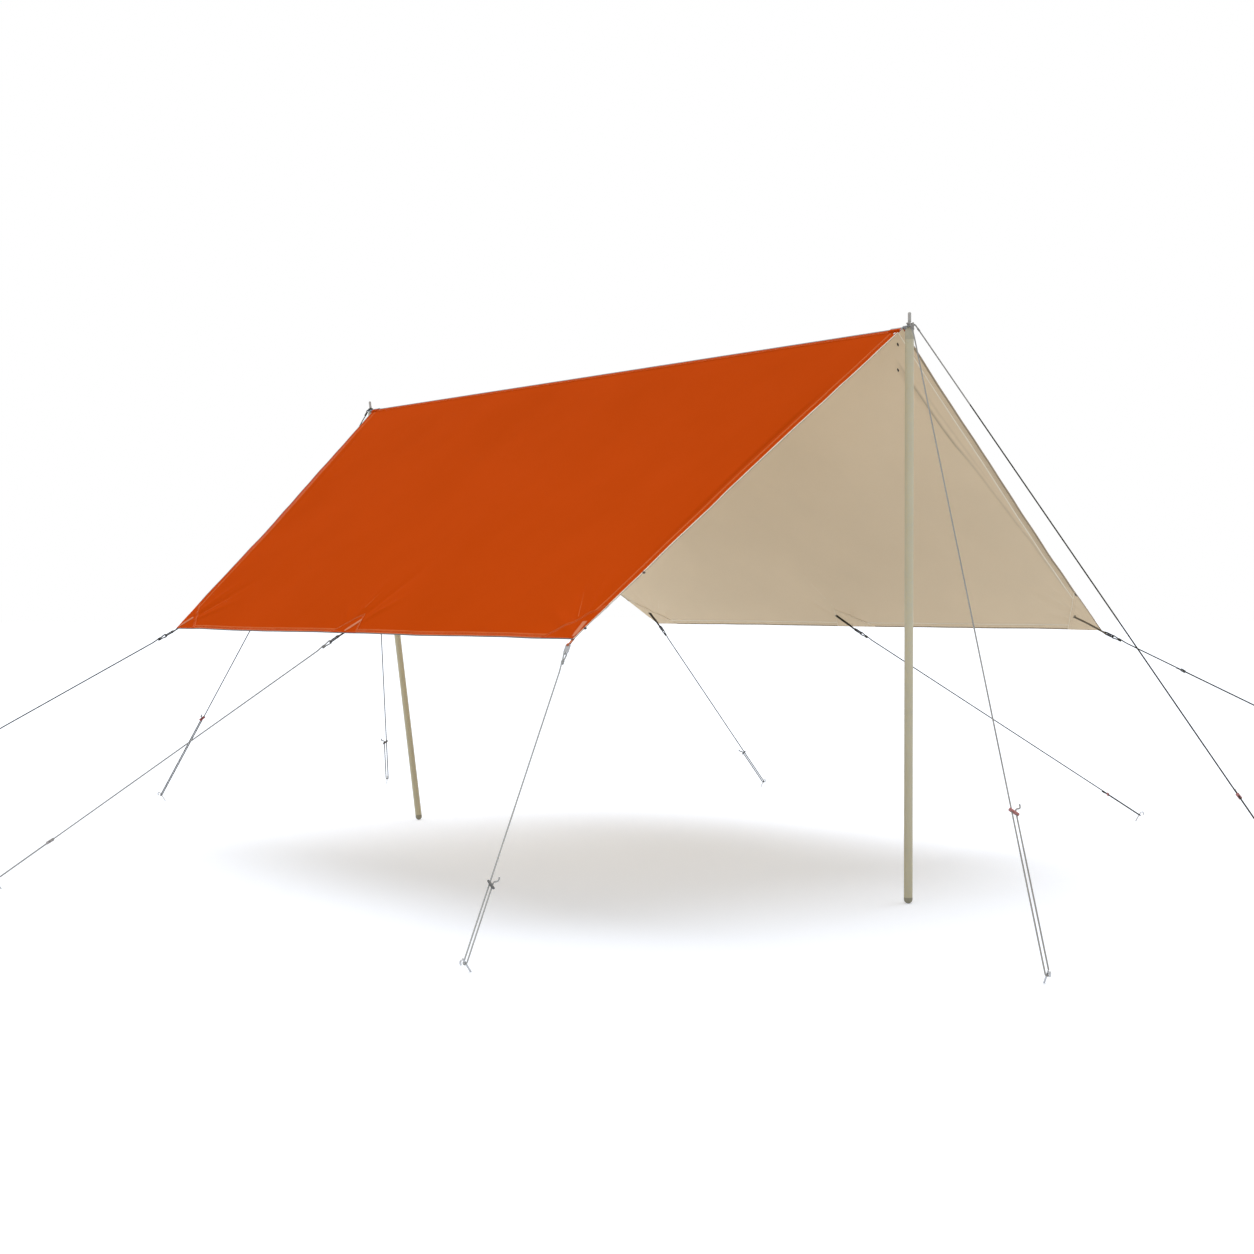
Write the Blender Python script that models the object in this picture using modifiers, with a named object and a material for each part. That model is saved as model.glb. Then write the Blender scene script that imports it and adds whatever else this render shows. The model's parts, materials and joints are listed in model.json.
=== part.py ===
"""A ridge tarp pitched on two poles and held out by ten guy lines.

The ground is z = 0. The ridge runs along Y with its front end at -Y, and the left slope is
at -X. Each slope is one panel of cloth. A tongue at each end of the ridge holds an eyelet,
which sits over the spike of a pole. Six tabs along the eaves hold links, and each line goes
from a link or a spike to a ground peg, round it and back up to its slider.
"""
import math

import bmesh
import bpy
from mathutils import Matrix, Vector

# Clearance between pieces that touch
GAP = 0.0003

# Cloth
RIDGE_HEIGHT = 2.10
RIDGE_LENGTH = 3.65
EAVE_HEIGHT = 0.983
EAVE_HALF_SPAN = 1.41
EAVE_FRONT_Y = -1.68
EAVE_BACK_Y = 1.20
CLOTH_THICKNESS = 0.0012
HEM_THICKNESS = 0.0020
HEM_WIDTH = 0.030
HEM_STEP = 0.002
SLOPE_SAG = 0.022
GABLE_HOLLOW = 0.012
WAVE_HEIGHT = 0.005
WAVE_COUNT = 3
SAG_ROWS = 8
CLOTH_COLUMNS = 16

# Tape over the ridge seam
TAPE_WIDTH = 0.025
TAPE_THICKNESS = 0.0012
TAPE_MARGIN = 0.005

# Tongue and eyelet at each end of the ridge
TONGUE_THICKNESS = 0.0024
TONGUE_HALF_WIDTH = 0.017
TONGUE_OVERLAP = 0.060
TONGUE_TRIM = 0.003
TONGUE_STEPS = 12
TIP_TO_BEND = 0.004
BEND_TO_FLAT = 0.014
BEND_TO_EYELET = 0.028
EYELET_BORE = 0.0072
EYELET_WALL = 0.0008
EYELET_FLANGE = 0.0125
EYELET_CHAMFER = 0.0005
EYELET_SIDES = 20

# Poles
POLE_RADIUS = 0.016
POLE_WALL = 0.0015
BACK_POLE_LEAN = math.radians(12.2)
POLE_SECTIONS = ("bottom", "middle", "top")
NECK_LENGTH = 0.060
NECK_TAPER = 0.010
POLE_SIDES = 16
DOME_RADIUS = 0.009
DOME_END = math.radians(80.0)
DOME_STEPS = 4
SPIKE_RADIUS = 0.0045
SPIKE_LENGTH = 0.060
CAP_SHOULDER = 0.008
CAP_CHAMFER = 0.0016
CAP_LENGTH = 0.040
PLUG_LENGTH = 0.045
FOOT_COLLAR = 0.006
FOOT_STEPS = 4

# Tabs along the eaves
PATCH_REACH = 0.140
PATCH_BULGE = 0.200
PATCH_WALL = 0.0010
PATCH_CURVE_POINTS = 5
STRAP_INSET = 0.010
STRAP_INSIDE = 0.085
STRAP_OUTSIDE = 0.036
STRAP_THICKNESS = 0.0018
STRAP_SEAT = 0.0004
WEB_WIDTH = 0.012
STRAP_EYE_BORE = 0.0032
STRAP_EYE_RADIUS = 0.0052
STRAP_EYE_DROP = 0.0040
STRAP_EYE_STEPS = 9
STRAP_BORE_SIDES = 10

# Links between the straps and the lines
LINK_WIRE = 0.0020
LINK_HALF_WIDTH = 0.009
LINK_CORNER = 0.003
LINK_STRAIGHT = 0.024
LINK_STEPS = 6

# Lines
CORD_RADIUS = 0.0025
LINK_EYE_RADIUS = 0.0062
SPIKE_EYE_RADIUS = 0.0105
KNOT_REACH = 0.036
EYE_TAPER = 0.85
EYE_STEPS = 6
TAIL_LENGTH = 0.008
STRAND_SPREAD = 0.0029
TONGUE_BEND_RADIUS = 0.0065
TAIL_PAST_SLIDER = 0.012
SETTLING_ROUNDS = 12

# Pegs
PEG_RADIUS = 0.003
PEG_CORD_PLAY = 0.0008
PEG_LINE_HEIGHT = 0.032
PEG_LEAST_RISE = math.radians(50.0)
PEG_NECK = 0.012
PEG_HOOK_RADIUS = 0.009
PEG_HOOK_TURN = math.radians(200.0)
PEG_HOOK_POINTS = 6
PEG_WRAP_STEPS = 4

# Sliders, bars that sit askew on their lines
SLIDER_LENGTH = 0.036
SLIDER_DEPTH = 0.0075
SLIDER_WIDTH = 0.012
SLIDER_TILT = math.radians(50.0)
SLIDER_BORE = 0.0030
SLIDER_END_STEPS = 5

# How far the outermost pegs stand from the middle of the tarp, to the sides and the ends
SIDE_PEG_X = 2.75
END_PEG_Y = 3.05

# Each line: name, where it starts, where its peg stands, and how far its slider is from the peg
RIDGE_LINES = (
    ("ridge_front_right", -1, 0, (0.75, -END_PEG_Y), 0.48),
    ("ridge_front_left", -1, 1, (-0.75, -END_PEG_Y), 0.52),
    ("ridge_back_left", 1, 0, (-0.62, END_PEG_Y), 0.51),
    ("ridge_back_right", 1, 1, (0.84, END_PEG_Y), 0.28),
)
EAVE_LINES = (
    ("left_back", -1, 1.0, (-SIDE_PEG_X, 2.20), 0.45),
    ("left_middle", -1, 0.5, (-2.45, 0.60), 0.26),
    ("left_front", -1, 0.0, (-1.95, -1.85), 0.25),
    ("right_back", 1, 1.0, (2.45, 1.45), 0.28),
    ("right_middle", 1, 0.5, (SIDE_PEG_X, -0.95), 0.20),
    ("right_front", 1, 0.0, (SIDE_PEG_X, -END_PEG_Y), 1.76),
)

# Worked out from the sizes above
UP = Vector((0.0, 0.0, 1.0))
SLOPE_ANGLE = math.atan2(RIDGE_HEIGHT - EAVE_HEIGHT, EAVE_HALF_SPAN)
SLOPE_LENGTH = (RIDGE_HEIGHT - EAVE_HEIGHT) / math.sin(SLOPE_ANGLE)
RIDGE_EDGE = HEM_THICKNESS * math.sin(SLOPE_ANGLE) + GAP / 2
TONGUE_LIFT = GAP + TAPE_THICKNESS + GAP
STRAND_OFFSET = PEG_RADIUS + PEG_CORD_PLAY + CORD_RADIUS
POLE_INNER = POLE_RADIUS - POLE_WALL
PLUG_RADIUS = POLE_INNER - GAP
EYELET_HALF = TONGUE_THICKNESS / 2 + GAP + EYELET_WALL


def clear_scene():
    """Remove what the scene holds."""
    for item in list(bpy.data.objects):
        bpy.data.objects.remove(item, do_unlink=True)


def new_collection(name):
    """Make a collection in the scene."""
    collection = bpy.data.collections.new(name)
    bpy.context.scene.collection.children.link(collection)
    return collection


def material(name, colour, roughness, metallic=0.0):
    """A plain surface with its colour, roughness and metallic value."""
    surface = bpy.data.materials.new(name)
    surface.use_nodes = True
    shader = surface.node_tree.nodes["Principled BSDF"]
    shader.inputs["Base Color"].default_value = (*colour, 1.0)
    shader.inputs["Roughness"].default_value = roughness
    shader.inputs["Metallic"].default_value = metallic
    return surface


def add_object(name, data, collection, surface=None):
    """Put an object with this mesh or curve in a collection."""
    item = bpy.data.objects.new(name, data)
    collection.objects.link(item)
    if surface is not None:
        data.materials.append(surface)
    return item


def frame_matrix(origin, x_axis, y_axis, z_axis):
    """The matrix that puts local axes at a place."""
    rotation = Matrix((x_axis, y_axis, z_axis)).transposed()
    return Matrix.Translation(origin) @ rotation.to_4x4()


def tube(name, points, radius, collection, surface, cyclic=False):
    """A round wire, cord or rod along points."""
    curve = bpy.data.curves.new(name, "CURVE")
    curve.dimensions = "3D"
    curve.bevel_depth = radius
    curve.bevel_resolution = 2
    curve.use_fill_caps = True
    spline = curve.splines.new("POLY")
    spline.points.add(len(points) - 1)
    for knot, point in zip(spline.points, points):
        knot.co = (*point, 1.0)
    spline.use_cyclic_u = cyclic
    return add_object(name, curve, collection, surface)


def flat_outline(name, outlines, thickness, matrix, collection, surface=None):
    """A plate from closed outlines in its own XY plane; a second outline is a hole."""
    curve = bpy.data.curves.new(name, "CURVE")
    curve.dimensions = "2D"
    curve.fill_mode = "BOTH"
    curve.extrude = thickness / 2
    for outline in outlines:
        spline = curve.splines.new("POLY")
        spline.points.add(len(outline) - 1)
        for knot, point in zip(spline.points, outline):
            knot.co = (point[0], point[1], 0.0, 1.0)
        spline.use_cyclic_u = True
    item = add_object(name, curve, collection, surface)
    item.matrix_world = matrix
    return item


def as_mesh(item, collection):
    """Replace a curve object by a mesh object with its caps welded."""
    bpy.context.view_layer.update()
    shape = item.evaluated_get(bpy.context.evaluated_depsgraph_get())
    mesh = bpy.data.meshes.new_from_object(shape)
    work = bmesh.new()
    work.from_mesh(mesh)
    bmesh.ops.remove_doubles(work, verts=work.verts, dist=1e-6)
    bmesh.ops.recalc_face_normals(work, faces=work.faces)
    work.to_mesh(mesh)
    work.free()
    name = item.name
    matrix = item.matrix_world.copy()
    bpy.data.objects.remove(item, do_unlink=True)
    solid = bpy.data.objects.new(name, mesh)
    collection.objects.link(solid)
    solid.matrix_world = matrix
    return solid


def hide_helper(item):
    """Mark a cutter or a guide."""
    item.hide_render = True
    item.display_type = "WIRE"


def boolean(item, other, operation):
    """Cut or join with another object."""
    step = item.modifiers.new(operation.title(), "BOOLEAN")
    step.operation = operation
    step.solver = "EXACT"
    step.object = other
    hide_helper(other)


def solidify(item, thickness, offset):
    """Give a surface its thickness, to one side of it."""
    step = item.modifiers.new("Thickness", "SOLIDIFY")
    step.thickness = thickness
    step.offset = offset
    step.use_even_offset = True
    return step


def turned(name, profile, sides, collection, surface, closed=False):
    """A turned solid: its profile runs down the outside, top to bottom."""
    mesh = bpy.data.meshes.new(name)
    points = [(radius, 0.0, height) for radius, height in profile]
    edges = [(i, i + 1) for i in range(len(points) - 1)]
    if closed:
        edges.append((len(points) - 1, 0))
    mesh.from_pydata(points, edges, [])
    item = add_object(name, mesh, collection, surface)
    screw = item.modifiers.new("Turn", "SCREW")
    screw.axis = "Z"
    screw.angle = math.tau
    screw.steps = sides
    screw.render_steps = sides
    screw.use_merge_vertices = True
    screw.merge_threshold = 0.00005
    screw.use_smooth_shade = True
    return item


def mapped_grid(name, columns, rows, place, collection, surface):
    """A grid of faces whose corners are placed by a rule from their column and row."""
    work = bmesh.new()
    bmesh.ops.create_grid(work, x_segments=columns - 1, y_segments=rows - 1, size=1.0)
    for corner in work.verts:
        column = round((corner.co.x + 1) / 2 * (columns - 1))
        row = round((corner.co.y + 1) / 2 * (rows - 1))
        corner.co = place(column, row)
    work.normal_update()
    if sum(face.normal.z for face in work.faces) < 0:
        bmesh.ops.reverse_faces(work, faces=work.faces)
    mesh = bpy.data.meshes.new(name)
    work.to_mesh(mesh)
    work.free()
    return add_object(name, mesh, collection, surface)


# Cloth

def slope_axes(side):
    """Directions down a slope and square out of it."""
    down = Vector((side * math.cos(SLOPE_ANGLE), 0.0, -math.sin(SLOPE_ANGLE)))
    normal = Vector((side * math.sin(SLOPE_ANGLE), 0.0, math.cos(SLOPE_ANGLE)))
    return down, normal


def gable_edges(down):
    """Where the front and back edges lie along Y, at a distance down the slope."""
    share = down / SLOPE_LENGTH
    hollow = GABLE_HOLLOW * 4 * share * (1 - share)
    front = -RIDGE_LENGTH / 2 + (EAVE_FRONT_Y + RIDGE_LENGTH / 2) * share + hollow
    back = RIDGE_LENGTH / 2 + (EAVE_BACK_Y - RIDGE_LENGTH / 2) * share - hollow
    return front, back


def slope_point(side, down, y):
    """A point of the cloth's outer surface, which sags between its seams and patches."""
    along_slope, normal = slope_axes(side)
    front, back = gable_edges(down)
    top = TAPE_WIDTH + TAPE_MARGIN
    share = (down - top) / (SLOPE_LENGTH - PATCH_REACH - top)
    share = min(max(share, 0.0), 1.0)
    across = (y - front) / (back - front)
    bump = 16 * share ** 2 * (1 - share) ** 2 * math.sin(math.pi * across)
    wave = WAVE_HEIGHT * math.sin(math.tau * WAVE_COUNT * across)
    point = Vector((side * RIDGE_EDGE, y, RIDGE_HEIGHT)) + along_slope * down
    return point + normal * bump * (wave - SLOPE_SAG)


def slope_rows():
    """Distances down the slope of the cloth's rows."""
    top = TAPE_WIDTH + TAPE_MARGIN
    bottom = SLOPE_LENGTH - PATCH_REACH
    rows = [0.0]
    rows += [top + (bottom - top) * i / SAG_ROWS for i in range(SAG_ROWS + 1)]
    rows += [SLOPE_LENGTH - HEM_WIDTH - HEM_STEP, SLOPE_LENGTH - HEM_WIDTH, SLOPE_LENGTH]
    return rows


def slope_columns():
    """The cloth's columns, as a share of the width and a distance from that place."""
    inside = [(i / CLOTH_COLUMNS, 0.0) for i in range(1, CLOTH_COLUMNS)]
    front = [(0.0, 0.0), (0.0, HEM_WIDTH), (0.0, HEM_WIDTH + HEM_STEP)]
    back = [(1.0, -offset) for _, offset in reversed(front)]
    return front + inside + back


def make_panel(name, side, collection, surface):
    """One slope of the tarp, with a doubled hem on its three free edges."""
    rows = slope_rows()
    columns = slope_columns()
    hem = []

    def place(column, row):
        front, back = gable_edges(rows[row])
        share, offset = columns[column]
        point = slope_point(side, rows[row], front + share * (back - front) + offset)
        if row >= len(rows) - 2 or column < 2 or column >= len(columns) - 2:
            hem.append(point.copy())
        return point

    panel = mapped_grid(name, len(columns), len(rows), place, collection, surface)
    group = panel.vertex_groups.new(name="hem")
    for vertex in panel.data.vertices:
        if any((vertex.co - point).length < 1e-5 for point in hem):
            group.add([vertex.index], 1.0, "REPLACE")
    thickness = solidify(panel, HEM_THICKNESS, -1.0)
    thickness.vertex_group = "hem"
    thickness.thickness_vertex_group = CLOTH_THICKNESS / HEM_THICKNESS
    return panel


def roof_height(x, lift):
    """Height of a roof that lies a distance above the cloth at the ridge."""
    fall = max(abs(x) - RIDGE_EDGE, 0.0) * math.tan(SLOPE_ANGLE)
    return RIDGE_HEIGHT + lift / math.cos(SLOPE_ANGLE) - fall


def make_ridge_tape(collection, surface):
    """The folded tape that covers the seam between the two panels."""
    reach = RIDGE_EDGE + TAPE_WIDTH * math.cos(SLOPE_ANGLE)
    across = (-reach, -RIDGE_EDGE, RIDGE_EDGE, reach)
    ends = (-RIDGE_LENGTH / 2, RIDGE_LENGTH / 2)

    def place(column, row):
        x = across[column]
        return Vector((x, ends[row], roof_height(x, GAP)))

    tape = mapped_grid("ridge_tape", len(across), len(ends), place, collection, surface)
    solidify(tape, TAPE_THICKNESS, 1.0)


# Ends of the ridge

class RidgeEnd:
    """The frame of one ridge end: its bend, its eyelet and the joint of its pole."""

    def __init__(self, side, lean):
        self.side = side
        self.lean = lean
        self.out = Vector((0.0, side * math.cos(lean), -math.sin(lean)))
        self.up = Vector((0.0, side * math.sin(lean), math.cos(lean)))
        tip = side * (RIDGE_LENGTH / 2 + TIP_TO_BEND)
        self.bend = Vector((0.0, tip, roof_height(0.0, TONGUE_LIFT)))
        middle = self.up * (TONGUE_THICKNESS / 2)
        self.eyelet = self.bend + self.out * BEND_TO_EYELET + middle
        self.joint = self.eyelet - self.up * seat_depth()

    def matrix(self, origin):
        """Local axes at a point: Z along the pole and Y out from the tarp."""
        return frame_matrix(origin, self.out.cross(self.up), self.out, self.up)


def seat_depth():
    """How far the centre of the pole's dome lies below the middle of the eyelet."""
    edges = (
        (EYELET_BORE, EYELET_HALF - EYELET_CHAMFER),
        (EYELET_BORE + EYELET_CHAMFER, EYELET_HALF),
    )
    reach = DOME_RADIUS + GAP
    return max(math.sqrt(reach ** 2 - radius ** 2) + drop for radius, drop in edges)


def make_tongue(name, end, parts, cutters, surface):
    """A stiff tongue that is folded over the ridge and runs out flat to its eyelet."""
    half = TONGUE_HALF_WIDTH + TONGUE_TRIM
    across = (-half, -RIDGE_EDGE, RIDGE_EDGE, half)
    tip = BEND_TO_EYELET + half
    stations = (-TONGUE_OVERLAP, -TIP_TO_BEND / 2, BEND_TO_FLAT / 2, BEND_TO_FLAT, tip)

    def place(column, row):
        x = across[column]
        distance = stations[row]
        fold = min(max(1 - distance / BEND_TO_FLAT, 0.0), 1.0)
        fall = max(abs(x) - RIDGE_EDGE, 0.0) * math.tan(SLOPE_ANGLE) * fold
        if distance <= 0:
            line = end.bend + Vector((0.0, end.side * distance, 0.0))
            return line + Vector((x, 0.0, -fall))
        return end.bend + end.out * distance + Vector((x, 0.0, 0.0)) - end.up * fall

    tongue = mapped_grid(name, len(across), len(stations), place, parts, surface)
    solidify(tongue, TONGUE_THICKNESS, 1.0)
    inner = -(BEND_TO_EYELET + TONGUE_OVERLAP + half)
    arc = [math.pi * i / TONGUE_STEPS for i in range(TONGUE_STEPS + 1)]
    outline = [(TONGUE_HALF_WIDTH * math.cos(a), TONGUE_HALF_WIDTH * math.sin(a)) for a in arc]
    outline += [(-TONGUE_HALF_WIDTH, inner), (TONGUE_HALF_WIDTH, inner)]
    shape = flat_outline(name + "_outline", [outline], 4 * half, end.matrix(end.eyelet), cutters)
    boolean(tongue, as_mesh(shape, cutters), "INTERSECT")
    bore = EYELET_BORE + EYELET_WALL + GAP
    rim = [math.tau * i / EYELET_SIDES for i in range(EYELET_SIDES)]
    circle = [(bore * math.cos(a), bore * math.sin(a)) for a in rim]
    hole = flat_outline(name + "_hole", [circle], 2 * half, end.matrix(end.eyelet), cutters)
    boolean(tongue, as_mesh(hole, cutters), "DIFFERENCE")


def make_eyelet(name, end, collection, surface):
    """A pressed ring with a flange on each face of the tongue."""
    flange = TONGUE_THICKNESS / 2 + GAP
    barrel = EYELET_BORE + EYELET_WALL
    throat = EYELET_HALF - EYELET_CHAMFER
    lip = EYELET_BORE + EYELET_CHAMFER
    profile = (
        (EYELET_FLANGE, EYELET_HALF),
        (EYELET_FLANGE, flange),
        (barrel, flange),
        (barrel, -flange),
        (EYELET_FLANGE, -flange),
        (EYELET_FLANGE, -EYELET_HALF),
        (lip, -EYELET_HALF),
        (EYELET_BORE, -throat),
        (EYELET_BORE, throat),
        (lip, EYELET_HALF),
    )
    ring = turned(name, profile, EYELET_SIDES, collection, surface, closed=True)
    ring.matrix_world = end.matrix(end.eyelet)


# Poles

def cap_profile():
    """The cap from its spike down to the plug that fits in the top tube."""
    tip = [math.radians(a) for a in (0, 45, 90)]
    profile = [
        (SPIKE_RADIUS * math.sin(a), SPIKE_LENGTH - SPIKE_RADIUS + SPIKE_RADIUS * math.cos(a))
        for a in tip
    ]
    first = math.asin(SPIKE_RADIUS / DOME_RADIUS)
    swing = DOME_END - first
    arc = [first + swing * i / DOME_STEPS for i in range(DOME_STEPS + 1)]
    profile += [(DOME_RADIUS * math.sin(a), DOME_RADIUS * math.cos(a)) for a in arc]
    profile += [
        (POLE_RADIUS - CAP_CHAMFER, -CAP_SHOULDER / 2),
        (POLE_RADIUS, -CAP_SHOULDER),
        (POLE_RADIUS, -CAP_LENGTH),
        (PLUG_RADIUS, -CAP_LENGTH),
        (PLUG_RADIUS, -CAP_LENGTH - PLUG_LENGTH),
        (0.0, -CAP_LENGTH - PLUG_LENGTH),
    ]
    return profile


def foot_profile():
    """The rubber foot from its plug down to the ground, about the centre of its round end."""
    profile = [
        (0.0, FOOT_COLLAR + PLUG_LENGTH),
        (PLUG_RADIUS, FOOT_COLLAR + PLUG_LENGTH),
        (PLUG_RADIUS, FOOT_COLLAR),
        (POLE_RADIUS, FOOT_COLLAR),
    ]
    last = math.pi / 2 - BACK_POLE_LEAN
    arc = [last * i / FOOT_STEPS for i in range(FOOT_STEPS + 1)]
    profile += [(POLE_RADIUS * math.cos(a), -POLE_RADIUS * math.sin(a)) for a in arc]
    profile.append((0.0, -POLE_RADIUS * math.sin(last)))
    return profile


def section_profile(length, necked):
    """A tube, with a drawn-in neck above it where the next tube plugs on."""
    if not necked:
        return [
            (POLE_RADIUS, length),
            (POLE_RADIUS, 0.0),
            (POLE_INNER, 0.0),
            (POLE_INNER, length),
        ]
    neck_inner = PLUG_RADIUS - POLE_WALL
    return [
        (PLUG_RADIUS, length + NECK_LENGTH),
        (PLUG_RADIUS, length),
        (POLE_RADIUS, length),
        (POLE_RADIUS, 0.0),
        (POLE_INNER, 0.0),
        (POLE_INNER, length - 2 * NECK_TAPER),
        (neck_inner, length - NECK_TAPER),
        (neck_inner, length + NECK_LENGTH),
    ]


def make_pole(name, end, collection, tube_surface, metal, rubber):
    """A three-piece pole that pivots where its dome carries the eyelet."""
    pivot = bpy.data.objects.new(name + "_pivot", None)
    collection.objects.link(pivot)
    pivot.matrix_world = end.matrix(end.joint)
    stands = POLE_RADIUS if end.lean else POLE_RADIUS * math.cos(BACK_POLE_LEAN)
    length = (end.joint.z - stands) / math.cos(end.lean)
    foot_top = -length + FOOT_COLLAR + GAP
    count = len(POLE_SECTIONS)
    section = (-CAP_LENGTH - GAP - foot_top - GAP * (count - 1)) / count
    pieces = [(turned(name + "_cap", cap_profile(), POLE_SIDES, collection, metal), 0.0)]
    for index, label in enumerate(POLE_SECTIONS):
        profile = section_profile(section, index < count - 1)
        piece = turned(f"{name}_{label}", profile, POLE_SIDES, collection, tube_surface, True)
        pieces.append((piece, foot_top + index * (section + GAP)))
    foot = turned(name + "_foot", foot_profile(), POLE_SIDES, collection, rubber)
    pieces.append((foot, -length))
    for piece, height in pieces:
        piece.parent = pivot
        piece.location = (0.0, 0.0, height)


# Lines

def ground_point(spot):
    """Where a line goes round its peg."""
    return Vector((spot[0], spot[1], PEG_LINE_HEIGHT))


def level_across(direction):
    """The level direction square to a line."""
    return UP.cross(direction).normalized()


def eye(centreline, across, radius, stops):
    """A line's eye: from the tail past the knot, round the eye and back to one strand.

    centreline gives the point at a distance along the line. The eye's round end is behind
    distance 0, and its two strands pass the stops side by side before they meet at the knot.
    """
    knot = stops[-1] + KNOT_REACH
    turns = [math.pi * i / EYE_STEPS for i in range(EYE_STEPS + 1)]
    points = [centreline(at) + across * STRAND_SPREAD for at in (knot + TAIL_LENGTH, knot)]
    points += [centreline(at) + across * radius * EYE_TAPER for at in reversed(stops)]
    points += [
        centreline(-radius * math.sin(a)) + across * radius * math.cos(a) for a in turns
    ]
    points += [centreline(at) - across * radius * EYE_TAPER for at in stops]
    points += [centreline(knot) - across * STRAND_SPREAD, centreline(knot + KNOT_REACH)]
    return points


def peg_run(direction, slider_distance, centre):
    """The line's end: down to the peg, round it and back up through the slider."""
    across = level_across(direction)
    turns = [math.pi * i / PEG_WRAP_STEPS for i in range(PEG_WRAP_STEPS + 1)]
    points = [
        centre - across * STRAND_OFFSET * math.cos(a) + direction * STRAND_OFFSET * math.sin(a)
        for a in turns
    ]
    reach = slider_distance + TAIL_PAST_SLIDER
    points.append(centre + across * STRAND_OFFSET - direction * reach)
    return points


def peg_axes(direction):
    """Directions up a peg's shank and out to its hook, for a line that pulls this way."""
    level = Vector((direction.x, direction.y, 0.0)).normalized()
    rise = max(math.pi / 2 - math.asin(-direction.z), PEG_LEAST_RISE)
    shank = level * math.cos(rise) + UP * math.sin(rise)
    return shank, level * math.sin(rise) - UP * math.cos(rise)


def make_peg(name, direction, centre, collection, surface):
    """A hooked wire peg that leans away from the tarp, cut off where it enters the ground."""
    shank, outward = peg_axes(direction)
    buried = centre - shank * (2 * PEG_LINE_HEIGHT / shank.z)
    top = centre + shank * PEG_NECK
    turns = [PEG_HOOK_TURN * i / PEG_HOOK_POINTS for i in range(PEG_HOOK_POINTS + 1)]
    hook = [
        top + (outward * (1 - math.cos(a)) + shank * math.sin(a)) * PEG_HOOK_RADIUS
        for a in turns
    ]
    rod = as_mesh(tube(name, [buried] + hook, PEG_RADIUS, collection, surface), collection)
    work = bmesh.new()
    work.from_mesh(rod.data)
    parts = work.verts[:] + work.edges[:] + work.faces[:]
    bmesh.ops.bisect_plane(
        work, geom=parts, plane_co=(0, 0, 0), plane_no=(0, 0, 1), clear_inner=True
    )
    rim = [edge for edge in work.edges if edge.is_boundary]
    bmesh.ops.holes_fill(work, edges=rim)
    bmesh.ops.recalc_face_normals(work, faces=work.faces)
    work.to_mesh(rod.data)
    work.free()


def make_slider(name, direction, centre, distance, parts, cutters, surface):
    """A bar askew on its line, with one bore for the line and one for the returning end."""
    across = level_across(direction)
    place = centre - direction * distance
    long_way = direction * math.cos(SLIDER_TILT) + across * math.sin(SLIDER_TILT)
    short_way = across * math.cos(SLIDER_TILT) - direction * math.sin(SLIDER_TILT)
    radius = SLIDER_DEPTH / 2
    half = [math.pi * (i / SLIDER_END_STEPS - 0.5) for i in range(SLIDER_END_STEPS + 1)]
    end = [
        (SLIDER_LENGTH / 2 - radius + radius * math.cos(a), radius * math.sin(a)) for a in half
    ]
    outline = end + [(-x, -y) for x, y in end]
    matrix = frame_matrix(place, long_way, short_way, long_way.cross(short_way))
    bar = flat_outline(name, [outline], SLIDER_WIDTH, matrix, parts, surface)
    bar = as_mesh(bar, parts)
    reach = direction * SLIDER_LENGTH
    for side in (-1, 1):
        middle = place + across * STRAND_OFFSET * side
        bore = tube(f"{name}_bore", [middle - reach, middle + reach], SLIDER_BORE, cutters, None)
        boolean(bar, as_mesh(bore, cutters), "DIFFERENCE")


class Line:
    """A line's straight run: its direction and the point that it turns round."""

    def __init__(self, start, spot):
        """start gives the run's first point for a direction, which depends on that point."""
        self.peg = ground_point(spot)
        direction = (self.peg - start(-UP)).normalized()
        for _ in range(SETTLING_ROUNDS):
            end = self.peg - level_across(direction) * STRAND_OFFSET
            direction = (end - start(direction)).normalized()
        self.direction = direction


def make_line_set(name, line, eye_points, distance, parts, cutters, surfaces):
    """The line itself with its peg and its slider."""
    points = eye_points + peg_run(line.direction, distance, line.peg)
    tube(name + "_guy", points, CORD_RADIUS, parts, surfaces["cord"])
    make_peg(name + "_peg", line.direction, line.peg, parts, surfaces["steel"])
    plastic = surfaces["slider"]
    make_slider(name + "_slider", line.direction, line.peg, distance, parts, cutters, plastic)


class SpikeEye:
    """The path of a line that leaves a spike, crosses the tongue and bends down to its peg."""

    def __init__(self, end, layer):
        self.end = end
        self.height = EYELET_HALF + GAP + CORD_RADIUS + layer * (2 * CORD_RADIUS + GAP)
        self.first = SPIKE_EYE_RADIUS - SPIKE_RADIUS - GAP - CORD_RADIUS
        self.flat = TONGUE_HALF_WIDTH - self.first
        self.bend = TONGUE_BEND_RADIUS + layer * (2 * CORD_RADIUS + GAP)

    def axes(self, direction):
        """Directions along and across the tongue, and the angle of the bend."""
        ahead = (direction - self.end.up * direction.dot(self.end.up)).normalized()
        return ahead, self.end.up.cross(ahead), math.acos(direction.dot(ahead))

    def centreline(self, direction, distance):
        """The point at a distance along the path, measured from the eye's middle."""
        ahead, _, angle = self.axes(direction)
        base = self.end.eyelet + self.end.up * self.height + ahead * self.first
        if distance <= self.flat:
            return base + ahead * distance
        turn = min((distance - self.flat) / self.bend, angle)
        point = base + ahead * (self.flat + self.bend * math.sin(turn))
        point -= self.end.up * self.bend * (1 - math.cos(turn))
        left = distance - self.flat - self.bend * turn
        return point + direction * left if turn == angle else point

    def run_start(self, direction):
        """Where the straight run begins."""
        angle = self.axes(direction)[2]
        return self.centreline(direction, self.flat + self.bend * angle + KNOT_REACH)


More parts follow.
